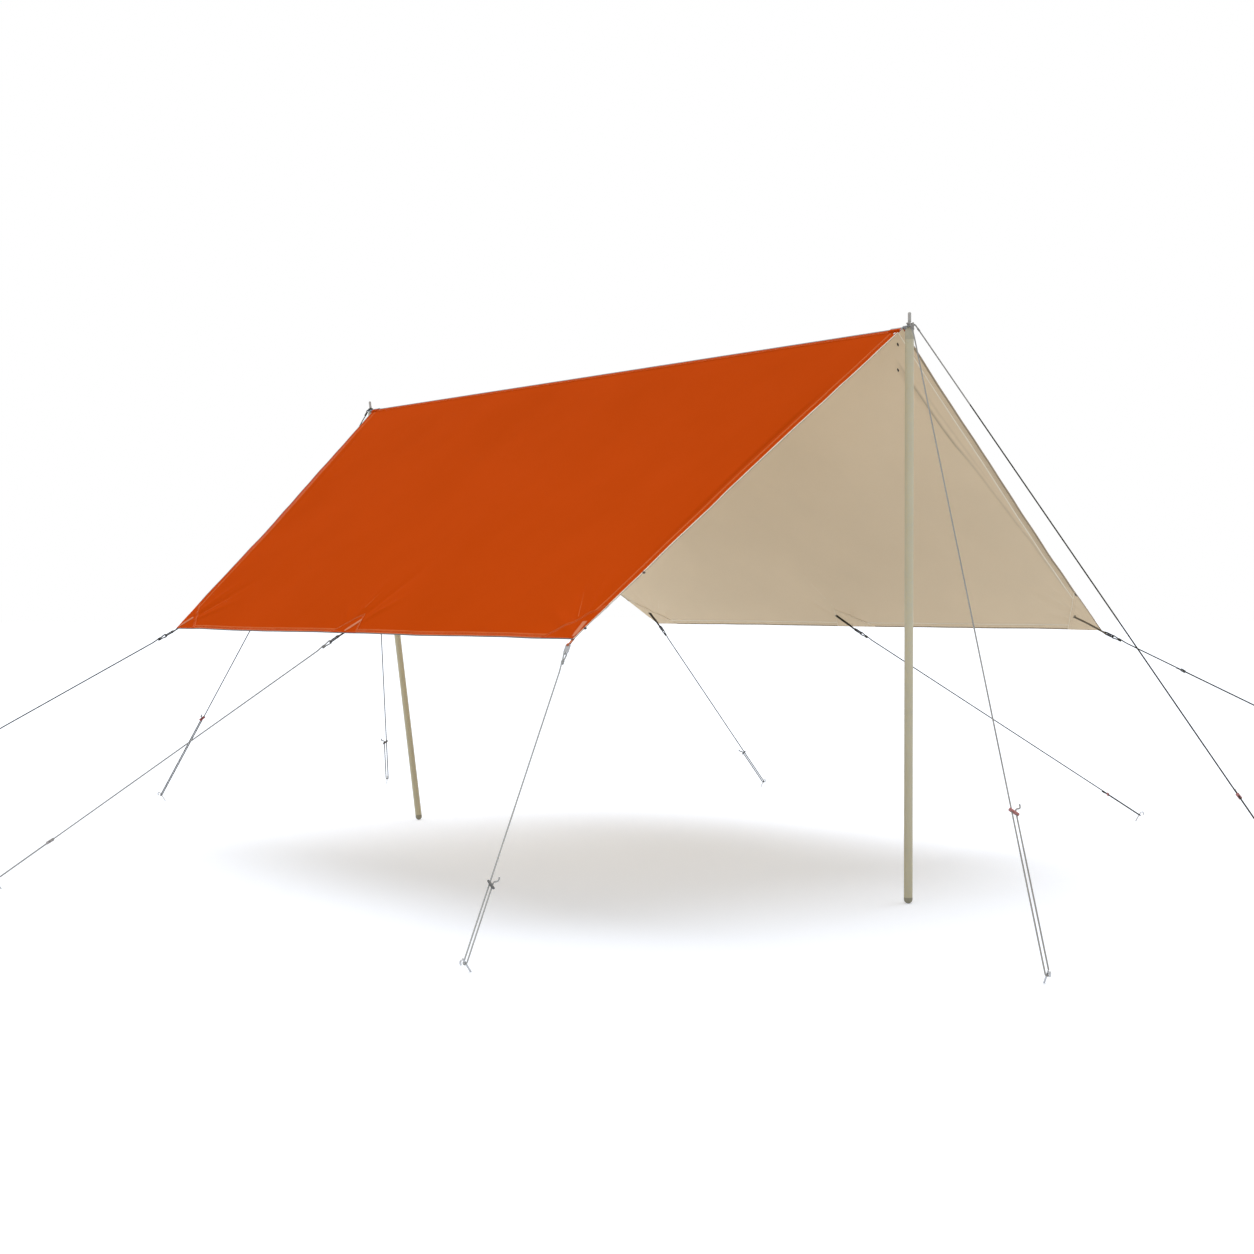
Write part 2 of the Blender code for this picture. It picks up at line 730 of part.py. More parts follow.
def make_ridge_line(name, end, layer, spot, distance, parts, cutters, surfaces):
    """A line from the spike at one end of the ridge."""
    path = SpikeEye(end, layer)
    line = Line(path.run_start, spot)
    _, across, angle = path.axes(line.direction)
    stops = [path.flat + path.bend * angle * share for share in (0.0, 0.5, 1.0)]

    def centreline(along):
        return path.centreline(line.direction, along)

    points = eye(centreline, across, SPIKE_EYE_RADIUS, stops)
    make_line_set(name, line, points, distance, parts, cutters, surfaces)


# Tabs along the eaves

class EaveTab:
    """The frame of one tab: its place on the cloth, its edges and the way its line pulls."""

    def __init__(self, side, place):
        self.down, self.normal = slope_axes(side)
        front, back = gable_edges(SLOPE_LENGTH)
        self.corner = slope_point(side, SLOPE_LENGTH, front + place * (back - front))
        along = Vector((0.0, 1.0, 0.0))
        if place in (0.0, 1.0):
            edge = gable_edges(SLOPE_LENGTH - PATCH_REACH)[int(place)]
            gable = slope_point(side, SLOPE_LENGTH - PATCH_REACH, edge) - self.corner
            self.edges = (along if place == 0.0 else -along, gable.normalized())
        else:
            self.edges = (along, -along)
        inward = self.square_in(0) + self.square_in(1)
        self.inward = inward.normalized()
        inset = sum(self.edges, Vector()) if place in (0.0, 1.0) else inward / 2
        self.seat = self.corner + inset * STRAP_INSET

    def square_in(self, index):
        """The direction square to an edge, in the cloth and away from its rim."""
        other = self.edges[1 - index]
        edge = self.edges[index]
        square = other - edge * other.dot(edge)
        if square.length < 1e-6:
            square = -self.down
        return square.normalized()

    def axes(self, direction):
        """Directions along the strap and across it, for a line that pulls this way."""
        along = (direction - self.normal * direction.dot(self.normal)).normalized()
        return along, self.normal.cross(along)

    def strap_eye(self, direction):
        """Centre of the strap's sewn eye."""
        along, _ = self.axes(direction)
        return self.seat + along * STRAP_OUTSIDE - self.normal * STRAP_EYE_DROP

    def link_start(self, direction):
        """Middle of the link's straight bar, pulled against the strap's eye."""
        play = STRAP_EYE_BORE - LINK_WIRE - GAP
        return self.strap_eye(direction) + direction * play

    def run_start(self, direction):
        """Middle of the line's eye, which is pulled against the link's round bar."""
        pull = LINK_EYE_RADIUS - LINK_WIRE - GAP - CORD_RADIUS
        reach = LINK_STRAIGHT + LINK_HALF_WIDTH + pull
        return self.link_start(direction) + direction * reach

    def outline(self, grow, reach):
        """The patch's two outer edges, moved out of the cloth by a distance."""
        first, second = self.edges
        lift = [-self.square_in(i) * grow for i in (0, 1)]
        half = lift[0].angle(lift[1]) / 2
        apex = -self.inward * grow / math.cos(half)
        return [first * reach + lift[0], apex, second * reach + lift[1]]

    def to_plane(self, points):
        """Points relative to the corner, as coordinates in the cloth's plane."""
        side = self.normal.cross(self.down)
        return [(p.dot(self.down), p.dot(side)) for p in points]

    def plane_matrix(self, offset):
        """Local axes in the cloth's plane, at the corner, moved along the normal."""
        side = self.normal.cross(self.down)
        return frame_matrix(self.corner + self.normal * offset, self.down, side, self.normal)


def make_tab(name, tab, direction, parts, cutters, surface):
    """A patch folded over the hem, with a strap sewn under it that ends in an eye."""
    start, apex, end = tab.outline(GAP + PATCH_WALL, PATCH_REACH)
    control = tab.inward * PATCH_BULGE
    shares = [i / (PATCH_CURVE_POINTS + 1) for i in range(1, PATCH_CURVE_POINTS + 1)]
    curve = [
        end * (1 - s) ** 2 + control * 2 * s * (1 - s) + start * s ** 2 for s in shares
    ]
    shape = tab.to_plane([start, apex, end] + curve)
    middle = -HEM_THICKNESS / 2
    matrix = tab.plane_matrix(middle)
    full = HEM_THICKNESS + 2 * (GAP + PATCH_WALL)
    patch = flat_outline(name, [shape], full, matrix, parts, surface)
    patch = as_mesh(patch, parts)
    reach = PATCH_REACH * 2
    near, tip, far = tab.outline(GAP, reach)
    room = tab.to_plane([near, tip, far, far + tab.inward * reach, near + tab.inward * reach])
    slot = flat_outline(name + "_slot", [room], HEM_THICKNESS + 2 * GAP, matrix, cutters)
    boolean(patch, as_mesh(slot, cutters), "DIFFERENCE")
    strap = make_strap(name + "_strap", tab, direction, cutters)
    boolean(patch, strap, "UNION")


def make_strap(name, tab, direction, cutters):
    """The strap's side view, from its inner end to its eye, as wide as the webbing."""
    along, across = tab.axes(direction)
    face = -(HEM_THICKNESS + GAP + PATCH_WALL)
    upper = face + STRAP_SEAT
    lower = face - STRAP_THICKNESS
    eye_x = STRAP_OUTSIDE
    eye_y = -STRAP_EYE_DROP
    upper_turn = math.asin((upper - eye_y) / STRAP_EYE_RADIUS)
    lower_turn = math.asin((eye_y - lower) / STRAP_EYE_RADIUS)
    first = math.pi + lower_turn
    last = 3 * math.pi - upper_turn
    swing = last - first
    arc = [first + swing * i / STRAP_EYE_STEPS for i in range(STRAP_EYE_STEPS + 1)]
    outline = [(-STRAP_INSIDE, upper), (-STRAP_INSIDE, lower)]
    outline += [
        (eye_x + STRAP_EYE_RADIUS * math.cos(a), eye_y + STRAP_EYE_RADIUS * math.sin(a))
        for a in arc
    ]
    rim = [math.tau * i / STRAP_BORE_SIDES for i in range(STRAP_BORE_SIDES)]
    bore = [
        (eye_x + STRAP_EYE_BORE * math.cos(a), eye_y + STRAP_EYE_BORE * math.sin(a))
        for a in rim
    ]
    matrix = frame_matrix(tab.seat, along, tab.normal, along.cross(tab.normal))
    strap = flat_outline(name, [outline, bore], WEB_WIDTH, matrix, cutters)
    return as_mesh(strap, cutters)


def make_link(name, tab, direction, collection, surface):
    """A wire ring with a straight bar in the strap's eye and a round end for the line."""
    across = tab.axes(direction)[1]
    start = tab.link_start(direction)
    inner = LINK_HALF_WIDTH - LINK_CORNER
    corner = [math.radians(a) for a in (0, 45, 90)]
    side = [
        (LINK_CORNER * (1 - math.cos(a)), inner + LINK_CORNER * math.sin(a)) for a in corner
    ]
    half = [math.pi * i / LINK_STEPS for i in range(LINK_STEPS + 1)]
    far = [
        (LINK_STRAIGHT + LINK_HALF_WIDTH * math.sin(a), LINK_HALF_WIDTH * math.cos(a))
        for a in half
    ]
    path = side + far + [(x, -y) for x, y in reversed(side)]
    points = [start + direction * x + across * y for x, y in path]
    tube(name, points, LINK_WIRE, collection, surface, cyclic=True)


def make_eave_line(name, side, place, spot, distance, parts, cutters, surfaces):
    """A tab with its link, line, peg and slider."""
    tab = EaveTab(side, place)
    line = Line(tab.run_start, spot)
    direction = line.direction
    make_tab(name + "_tab", tab, direction, parts, cutters, surfaces[side])
    make_link(name + "_link", tab, direction, parts, surfaces["link"])
    centre = tab.run_start(direction)
    upright = tab.axes(direction)[1].cross(direction)

    def centreline(along):
        return centre + direction * along

    points = eye(centreline, upright, LINK_EYE_RADIUS, [KNOT_REACH / 4])
    make_line_set(name, line, points, distance, parts, cutters, surfaces)


def main():
    """Build the tarp."""
    clear_scene()
    parts = new_collection("camping_tarp")
    cutters = new_collection("cutters")
    orange = material("orange_cloth", (0.552, 0.061, 0.004), 0.75)
    cream = material("cream_cloth", (0.539, 0.434, 0.296), 0.80)
    grey_tape = material("grey_tape", (0.42, 0.42, 0.44), 0.60)
    surfaces = {
        -1: orange,
        1: cream,
        "link": material("dark_link", (0.060, 0.062, 0.066), 0.40, 0.8),
        "cord": material("olive_cord", (0.12, 0.12, 0.095), 0.80),
        "steel": material("steel_wire", (0.45, 0.46, 0.48), 0.35, 1.0),
        "slider": material("red_slider", (0.42, 0.030, 0.028), 0.45),
    }
    tongue_surface = material("grey_tongue", (0.36, 0.39, 0.44), 0.60)
    ring_surface = material("pale_eyelet", (0.62, 0.63, 0.64), 0.35, 0.8)
    tube_surface = material("beige_pole", (0.46, 0.43, 0.30), 0.45)
    cap_surface = material("grey_cap", (0.55, 0.55, 0.53), 0.45)
    foot_surface = material("pole_foot", (0.40, 0.37, 0.26), 0.70)
    make_panel("left_panel", -1, parts, orange)
    make_panel("right_panel", 1, parts, cream)
    make_ridge_tape(parts, grey_tape)
    ends = {-1: RidgeEnd(-1, 0.0), 1: RidgeEnd(1, BACK_POLE_LEAN)}
    for label, end in (("front", ends[-1]), ("back", ends[1])):
        make_tongue(label + "_ridge_tab", end, parts, cutters, tongue_surface)
        make_eyelet(label + "_eyelet", end, parts, ring_surface)
        make_pole(label + "_pole", end, parts, tube_surface, cap_surface, foot_surface)
    for name, side, layer, spot, distance in RIDGE_LINES:
        make_ridge_line(name, ends[side], layer, spot, distance, parts, cutters, surfaces)
    for name, side, place, spot, distance in EAVE_LINES:
        make_eave_line(name, side, place, spot, distance, parts, cutters, surfaces)


main()
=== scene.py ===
"""Looks of a ridge tarp on two poles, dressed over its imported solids.

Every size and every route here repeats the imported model, in metres: the ground is z = 0, the
ridge runs along Y with its front end at -Y, and the left slope is at -X.
"""
from __future__ import annotations

import json
import logging
import math
from contextlib import contextmanager
from dataclasses import dataclass, field
from enum import Enum
from typing import Callable, Iterable, Iterator, Sequence

import bpy
from mathutils import Matrix, Vector, noise

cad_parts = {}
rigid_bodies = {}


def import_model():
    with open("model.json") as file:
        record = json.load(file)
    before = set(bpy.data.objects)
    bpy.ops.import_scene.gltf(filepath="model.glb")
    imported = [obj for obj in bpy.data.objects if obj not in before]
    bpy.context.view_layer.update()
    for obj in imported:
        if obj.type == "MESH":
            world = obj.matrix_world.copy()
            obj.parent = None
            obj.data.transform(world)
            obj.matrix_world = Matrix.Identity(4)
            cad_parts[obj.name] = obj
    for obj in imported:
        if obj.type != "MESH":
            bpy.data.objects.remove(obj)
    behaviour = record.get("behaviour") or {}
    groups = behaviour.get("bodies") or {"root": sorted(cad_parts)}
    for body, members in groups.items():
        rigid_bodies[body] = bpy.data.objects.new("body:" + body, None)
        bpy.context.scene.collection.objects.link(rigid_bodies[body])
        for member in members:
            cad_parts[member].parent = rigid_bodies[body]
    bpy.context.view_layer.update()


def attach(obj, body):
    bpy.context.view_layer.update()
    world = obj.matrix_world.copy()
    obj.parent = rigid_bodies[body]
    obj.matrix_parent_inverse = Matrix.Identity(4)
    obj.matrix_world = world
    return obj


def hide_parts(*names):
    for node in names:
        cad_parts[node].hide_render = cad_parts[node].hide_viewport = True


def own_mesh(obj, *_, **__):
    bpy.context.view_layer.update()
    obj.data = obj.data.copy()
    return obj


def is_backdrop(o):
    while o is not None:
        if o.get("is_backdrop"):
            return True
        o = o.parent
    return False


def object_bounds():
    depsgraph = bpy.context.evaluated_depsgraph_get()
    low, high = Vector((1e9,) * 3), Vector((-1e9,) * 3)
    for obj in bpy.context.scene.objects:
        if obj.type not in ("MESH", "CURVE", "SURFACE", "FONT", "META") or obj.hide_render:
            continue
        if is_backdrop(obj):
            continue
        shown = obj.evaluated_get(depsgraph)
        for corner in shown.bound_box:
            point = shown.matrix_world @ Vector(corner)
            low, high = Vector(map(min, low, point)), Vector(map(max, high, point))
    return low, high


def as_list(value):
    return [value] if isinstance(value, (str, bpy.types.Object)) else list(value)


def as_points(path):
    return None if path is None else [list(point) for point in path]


LOG = logging.getLogger("camping_tarp")
UP = Vector((0.0, 0.0, 1.0))
ALONG = Vector((0.0, 1.0, 0.0))
SOFT, CRISP = 60.0, 30.0  # degrees past which an edge stays sharp
Path = list[Vector]
Outline = Sequence[tuple[float, float]]
Item = bpy.types.Object
Node = bpy.types.Node
Socket = bpy.types.NodeSocket
Tree = bpy.types.NodeTree


class Side(Enum):
    """The two slopes, by the sign of X."""

    LEFT = -1
    RIGHT = 1

    @property
    def label(self) -> str:
        """Its name in its pieces."""
        return self.name.lower()

    @property
    def slot(self) -> str:
        """The record's slot of its cloth."""
        return "orange_cloth" if self is Side.LEFT else "cream_cloth"


class Face(Enum):
    """The two faces of the cloth, by the colour that each shows."""

    OUTER = "orange"
    INNER = "cream"

    @property
    def label(self) -> str:
        """Its name in its pieces."""
        return self.name.lower()

    def pick(self, outer: float, inner: float) -> float:
        """The value that goes with this face."""
        return outer if self is Face.OUTER else inner


class CordShade(Enum):
    """How dark a line's cord is."""

    DARK = "dark"
    MIDDLE = "middle"
    PALE = "pale"


class SliderShade(Enum):
    """The plastics that the sliders are moulded in."""

    RED = "red"
    DULL_RED = "dull_red"
    BROWN = "brown"
    GREY = "grey"
    PALE = "pale"


@dataclass(frozen=True)
class Plan:
    """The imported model's sizes, in metres and radians."""

    gap: float = 0.0003
    hair: float = 0.0001
    ridge_height: float = 2.10
    ridge_length: float = 3.65
    eave_height: float = 0.983
    eave_half_span: float = 1.41
    eave_front: float = -1.68
    eave_back: float = 1.20
    cloth: float = 0.0012
    hem: float = 0.0020
    sag: float = 0.022
    hollow: float = 0.012
    wave: float = 0.005
    waves: int = 3
    tape_width: float = 0.025
    tape: float = 0.0012
    tape_margin: float = 0.005
    tongue: float = 0.0024
    tongue_half: float = 0.017
    tongue_overlap: float = 0.060
    tongue_length: float = 0.109
    tip_to_bend: float = 0.004
    bend_to_flat: float = 0.014
    bend_to_eyelet: float = 0.028
    eyelet_bore: float = 0.0072
    eyelet_wall: float = 0.0008
    eyelet_flange: float = 0.0125
    eyelet_chamfer: float = 0.0005
    pole: float = 0.016
    pole_wall: float = 0.0015
    lean: float = math.radians(12.2)
    neck: float = 0.060
    neck_taper: float = 0.010
    dome: float = 0.009
    spike: float = 0.0045
    spike_length: float = 0.060
    cap_shoulder: float = 0.008
    cap_length: float = 0.040
    plug_length: float = 0.045
    foot_collar: float = 0.006
    patch_reach: float = 0.140
    patch: float = 0.0010
    strap_inset: float = 0.010
    strap_inside: float = 0.085
    strap_outside: float = 0.036
    web: float = 0.012
    strap: float = 0.00135
    strap_turns: float = 0.102
    slit_rim: float = 0.0008
    strap_bore: float = 0.0032
    strap_drop: float = 0.0040
    link_wire: float = 0.0020
    link_half: float = 0.009
    link_corner: float = 0.003
    link_straight: float = 0.024
    cord: float = 0.0025
    link_eye: float = 0.0062
    spike_eye: float = 0.0105
    knot_reach: float = 0.036
    eye_taper: float = 0.85
    tail: float = 0.008
    spread: float = 0.0029
    knot: float = 0.020
    thread: float = 0.00065
    bend: float = 0.0065
    settling: int = 12
    peg: float = 0.003
    peg_play: float = 0.0008
    peg_line: float = 0.032
    peg_rise: float = math.radians(50.0)
    peg_neck: float = 0.012
    peg_hook: float = 0.009
    peg_turn: float = math.radians(200.0)
    slider_length: float = 0.036
    slider_depth: float = 0.0075
    slider_width: float = 0.012
    slider_tilt: float = math.radians(50.0)
    slider_bore: float = 0.0030
    slider_stop: float = 0.10
    side_peg: float = 2.75
    front_peg: float = -3.05
    back_peg: float = 3.05

    @property
    def slope_angle(self) -> float:
        """How steep the slopes are."""
        return math.atan2(self.ridge_height - self.eave_height, self.eave_half_span)

    @property
    def slope_length(self) -> float:
        """From the ridge to the eave."""
        return (self.ridge_height - self.eave_height) / math.sin(self.slope_angle)

    @property
    def ridge_edge(self) -> float:
        """Half the space between the two panels at the ridge."""
        return self.hem * math.sin(self.slope_angle) + self.gap / 2

    @property
    def strand(self) -> float:
        """How far each of a line's two strands at a peg is from the middle."""
        return self.peg + self.peg_play + self.cord

    @property
    def pole_inner(self) -> float:
        """Inner radius of a pole's tube."""
        return self.pole - self.pole_wall

    @property
    def plug(self) -> float:
        """Radius of what plugs into a tube."""
        return self.pole_inner - self.gap

    @property
    def eyelet_half(self) -> float:
        """Half an eyelet's height."""
        return self.tongue / 2 + self.gap + self.eyelet_wall

    @property
    def facing(self) -> float:
        """How far the outer face of a patch lies above the cloth's outer surface."""
        return self.gap + self.patch

    @property
    def lining(self) -> float:
        """How far the inner face of a patch lies below the cloth's outer surface."""
        return self.hem + self.facing


PLAN = Plan()


def smooth(low: float, high: float, value: float) -> float:
    """A soft step from 0 at low to 1 at high."""
    share = min(max((value - low) / (high - low), 0.0), 1.0)
    return share * share * (3 - 2 * share)


def evenly(first: float, last: float, steps: int) -> list[float]:
    """Values from first to last, both included, at even steps."""
    return [first + (last - first) * i / steps for i in range(steps + 1)]


def frame_matrix(origin: Vector, x_axis: Vector, y_axis: Vector, z_axis: Vector) -> Matrix:
    """The matrix that puts local axes at a place."""
    rotation = Matrix((x_axis, y_axis, z_axis)).transposed()
    return Matrix.Translation(origin) @ rotation.to_4x4()


def spaced(first: Vector, last: Vector, step: float) -> Path:
    """Points from first to last, both included, about a step apart."""
    count = max(1, math.ceil((last - first).length / step))
    return [first.lerp(last, i / count) for i in range(count + 1)]


def rounded(points: Sequence[Vector], steps: int) -> Path:
    """A smooth path through points.

    Args:
        points: What the path goes through.
        steps: Points from each one to the next.

    Returns:
        The path's points, the first and the last among them.
    """
    ends = [points[0] * 2 - points[1], *points, points[-1] * 2 - points[-2]]
    path: Path = []
    for a, b, c, d in zip(ends, ends[1:], ends[2:], ends[3:]):
        for i in range(steps):
            t = i / steps
            path.append(
                0.5 * (2 * b + (c - a) * t + (2 * a - 5 * b + 4 * c - d) * t * t
                       + (3 * b - a - 3 * c + d) * t ** 3)
            )
    path.append(Vector(points[-1]))
    return path


# The bench: small steps of modelling by hand

def deselect() -> None:
    """Nothing stays selected."""
    for item in bpy.context.view_layer.objects:
        item.select_set(False)


def hold(item: Item) -> None:
    """Only this object is selected, and the tools work on it."""
    deselect()
    item.select_set(True)
    bpy.context.view_layer.objects.active = item


@contextmanager
def editing(item: Item) -> Iterator[None]:
    """Edit mode on one object, with all of it selected."""
    hold(item)
    bpy.ops.object.mode_set(mode="EDIT")
    bpy.ops.mesh.select_all(action="SELECT")
    yield
    bpy.ops.object.mode_set(mode="OBJECT")


def just_made(name: str) -> Item:
    """Name the object that an operator has just added."""
    item = bpy.context.active_object
    item.name = name
    item.data.name = name
    return item


def put(item: Item, matrix: Matrix) -> Item:
    """Move a finished piece's mesh to its place and leave its object at the origin."""
    item.data.transform(matrix @ item.matrix_world)
    item.matrix_world = Matrix.Identity(4)
    return item


def apply(item: Item, kind: str, **settings: object) -> None:
    """Add a modifier and apply it.

    Args:
        item: What it works on.
        kind: The modifier's type.
        settings: Its values by name.
    """
    step = item.modifiers.new(kind.title(), kind)
    for key, value in settings.items():
        setattr(step, key, value)
    hold(item)
    bpy.ops.object.modifier_apply(modifier=step.name)


def thicken(item: Item, thickness: float, offset: float) -> None:
    """Give a surface its thickness, to its inside at an offset of -1 and its outside at 1."""
    apply(item, "SOLIDIFY", thickness=thickness, offset=offset, use_even_offset=True)


def soften(item: Item, width: float, segments: int = 2, angle: float = 40.0) -> None:
    """Round a piece's sharp edges."""
    apply(item, "BEVEL", width=width, segments=segments, limit_method="ANGLE",
          angle_limit=math.radians(angle), use_clamp_overlap=True)


def shade(item: Item, angle: float = 35.0) -> None:
    """Smooth shading, with edges sharper than the angle kept."""
    hold(item)
    bpy.ops.object.shade_smooth_by_angle(angle=math.radians(angle))


def outward(item: Item) -> None:
    """Merge doubled corners and turn the faces outwards."""
    with editing(item):
        bpy.ops.mesh.remove_doubles(threshold=1e-6)
        bpy.ops.mesh.normals_make_consistent(inside=False)


def cut_with(item: Item, cutter: Item) -> None:
    """Take one solid out of another and throw the cutter away."""
    apply(item, "BOOLEAN", operation="DIFFERENCE", solver="EXACT", object=cutter)
    bpy.data.objects.remove(cutter, do_unlink=True)


def turn_ring(height: float, ratio: float, rise: float) -> None:
    """Pull the selected ring or face up by rise, to height, and scale it by ratio."""
    bpy.ops.mesh.extrude_region_move(TRANSFORM_OT_translate={"value": (0.0, 0.0, rise)})
    bpy.ops.transform.resize(value=(ratio, ratio, 1.0), center_override=(0.0, 0.0, height))


def turned(name: str, rings: Outline, sides: int, hollow: bool = False) -> Item:
    """A turned piece, drawn up ring by ring from a circle.

    Args:
        name: The piece's name.
        rings: The radius and height of each ring, from the first to the last.
        sides: Corners round a ring.
        hollow: The rings close on the first one, and otherwise discs close both ends.

    Returns:
        The piece.
    """
    deselect()
    first, level = rings[0]
    bpy.ops.mesh.primitive_circle_add(
        vertices=sides, radius=first, fill_type="NOTHING" if hollow else "NGON",
        location=(0.0, 0.0, level),
    )
    item = just_made(name)
    put(item, Matrix.Identity(4))
    with editing(item):
        radius = first
        for wanted, height in rings[1:]:
            turn_ring(height, wanted / radius, height - level)
            radius, level = wanted, height
    outward(item)
    shade(item)
    return item


def laid_grid(
    name: str,
    columns: int,
    rows: int,
    place: Callable[[int, int], Vector],
    pattern: Callable[[int, int], tuple[float, float]],
    facing: Vector,
    tone: Callable[[int, int], float] | None = None,
) -> Item:
    """A grid whose corners are laid out by a rule.

    Args:
        name: The piece's name.
        columns: Corners across.
        rows: Corners along.
        place: Where the corner of a column and row goes.
        pattern: Its place in the cloth's own plane, in metres.
        facing: Roughly where its outer side looks.
        tone: Painted shade there, darker above 0; below 0 it is a painted highlight.

    Returns:
        The surface, with a UV map in metres.
    """
    deselect()
    bpy.ops.mesh.primitive_grid_add(x_subdivisions=columns - 1, y_subdivisions=rows - 1, size=2.0)
    item = just_made(name)
    mesh = item.data
    spots = [
        (round((v.co.x + 1) / 2 * (columns - 1)), round((v.co.y + 1) / 2 * (rows - 1)))
        for v in mesh.vertices
    ]
    for vertex, (column, row) in zip(mesh.vertices, spots):
        vertex.co = place(column, row)
    layer = mesh.uv_layers.active or mesh.uv_layers.new(name="UVMap")
    for loop in mesh.loops:
        layer.data[loop.index].uv = pattern(*spots[loop.vertex_index])
    # Painted shade and highlight go into a point attribute that the cloth's finish reads.
    if tone:
        shades = mesh.attributes.new("tone", "FLOAT", "POINT")
        shades.data.foreach_set("value", [tone(*spot) for spot in spots])
    mesh.update()
    if sum(face.normal.dot(facing) * face.area for face in mesh.polygons) < 0:
        mesh.flip_normals()
    return item


def distances(points: Sequence[Vector]) -> list[float]:
    """How far along a path each of its points lies."""
    far = [0.0]
    for a, b in zip(points, points[1:]):
        far.append(far[-1] + (b - a).length)
    return far


def heading(points: Sequence[Vector], index: int) -> Vector:
    """The way a path goes at one of its points."""
    last = len(points) - 1
    return (points[min(index + 1, last)] - points[max(index - 1, 0)]).normalized()


class Skin:
    """Collects corners, faces and pattern coordinates, and makes one mesh of them."""

    def __init__(self) -> None:
        self.corners: Path = []
        self.faces: list[tuple[int, ...]] = []
        self.pattern: list[tuple[tuple[float, float], ...]] = []

    def face(self, corners: Sequence[int], pattern: Outline) -> None:
        """Add one face."""
        self.faces.append(tuple(corners))
        self.pattern.append(tuple(pattern))

    def join(self, rings: Sequence[Path], rim: Sequence[float], far: Sequence[float],
             cap: Outline) -> None:
        """Lay faces between rings of corners and close both ends.

        Args:
            rings: The rings, one after the other.
            rim: The pattern's place of each corner round a ring, and of the first one again.
            far: The pattern's place of each ring along the piece.
            cap: The pattern of the closing faces.
        """
        start, count = len(self.corners), len(rings[0])
        for i, ring in enumerate(rings):
            self.corners += ring
            if not i:
                continue
            low, high = start + (i - 1) * count, start + i * count
            for k in range(count):
                n = (k + 1) % count
                self.face(
                    (low + k, low + n, high + n, high + k),
                    ((rim[k], far[i - 1]), (rim[k + 1], far[i - 1]), (rim[k + 1], far[i]),
                     (rim[k], far[i])),
                )
        end = len(self.corners) - count
        self.face(range(start + count - 1, start - 1, -1), cap[::-1])
        self.face(range(end, end + count), cap)

    def tube(
        self, centres: Sequence[Vector], section: Outline,
        frames: Sequence[tuple[Vector, Vector]] | None = None,
        scales: Sequence[float] | None = None,
    ) -> None:
        """Sweep a closed section along a line, with a cap at each end.

        Args:
            centres: The line.
            section: The section's corners, in its own plane.
            frames: The two directions of that plane at each centre, untwisted if left out.
            scales: The section's size at each centre, 1 if left out.
        """
        frames = frames or carried(centres)
        scales = scales or [1.0] * len(centres)
        rings = [
            [centre + (first * x + second * y) * scale for x, y in section]
            for centre, (first, second), scale in zip(centres, frames, scales)
        ]
        closed = [Vector(corner) for corner in (*section, section[0])]
        self.join(rings, distances(closed), distances(centres), list(section))

    def block(self, middle: Vector, along: Vector, across: Vector, out: Vector,
              size: tuple[float, float, float]) -> None:
        """Add one stitch: a low block, narrower on top, that stands on the cloth."""
        start = len(self.corners)
        length, width, height = size[0] / 2, size[1] / 2, size[2]
        for rise, share in ((-height, 1.0), (height, 0.62)):
            for a, b in ((-1, -1), (1, -1), (1, 1), (-1, 1)):
                self.corners.append(
                    middle + along * a * length * share + across * b * width * share + out * rise
                )
        square = ((0.0, 0.0), (size[0], 0.0), (size[0], size[1]), (0.0, size[1]))
        for a, b, c, d in ((3, 2, 1, 0), (4, 5, 6, 7), (0, 1, 5, 4), (1, 2, 6, 5), (2, 3, 7, 6),
                           (3, 0, 4, 7)):
            self.face((start + a, start + b, start + c, start + d), square)

    def make(self, name: str, smooth_angle: float = 40.0) -> Item:
        """The mesh object of all that was added, with its faces outwards."""
        mesh = bpy.data.meshes.new(name)
        mesh.from_pydata(self.corners, [], self.faces)
        layer = mesh.uv_layers.new(name="UVMap")
        values = [value for face in self.pattern for value in face]
        for loop, value in zip(layer.data, values):
            loop.uv = value
        item = bpy.data.objects.new(name, mesh)
        bpy.context.scene.collection.objects.link(item)
        with editing(item):
            bpy.ops.mesh.normals_make_consistent(inside=False)
        shade(item, smooth_angle)
        return item


def carried(points: Sequence[Vector], start: Vector | None = None) -> list[tuple[Vector, Vector]]:
    """Two directions square to a path at each of its points, which don't twist along it."""
    frames: list[tuple[Vector, Vector]] = []
    side = start or Vector()
    for i, _ in enumerate(points):
        ahead = heading(points, i)
        side = side - ahead * side.dot(ahead)
        if side.length < 1e-4:
            side = ahead.orthogonal()
        side = side.normalized()
        frames.append((side, ahead.cross(side)))
    return frames


def circle(radius: float, sides: int) -> list[tuple[float, float]]:
    """A round section."""
    turns = evenly(0.0, math.tau, sides)[:-1]
    return [(radius * math.cos(a), radius * math.sin(a)) for a in turns]


def round_end(points: Sequence[Vector], radius: float) -> tuple[Path, list[float]]:
    """Round both ends of a path.

    Args:
        points: The path.
        radius: The radius of what runs along it.

    Returns:
        The path with a few more points just inside its ends, and the size at each.
    """
    inset = [(0.0, 0.35), (0.18, 0.72), (0.5, 0.93), (1.0, 1.0)]
    first, second, before, last = points[0], points[1], points[-2], points[-1]
    ahead, behind = (second - first).normalized(), (before - last).normalized()
    path = [first + ahead * radius * move for move, _ in inset]
    path += [p for p in points[1:-1]
             if (p - first).length > 1.2 * radius and (p - last).length > 1.2 * radius]
    sizes = [size for _, size in inset] + [1.0] * (len(path) - len(inset))
    path += [last + behind * radius * move for move, _ in reversed(inset)]
    sizes += [size for _, size in reversed(inset)]
    return path, sizes


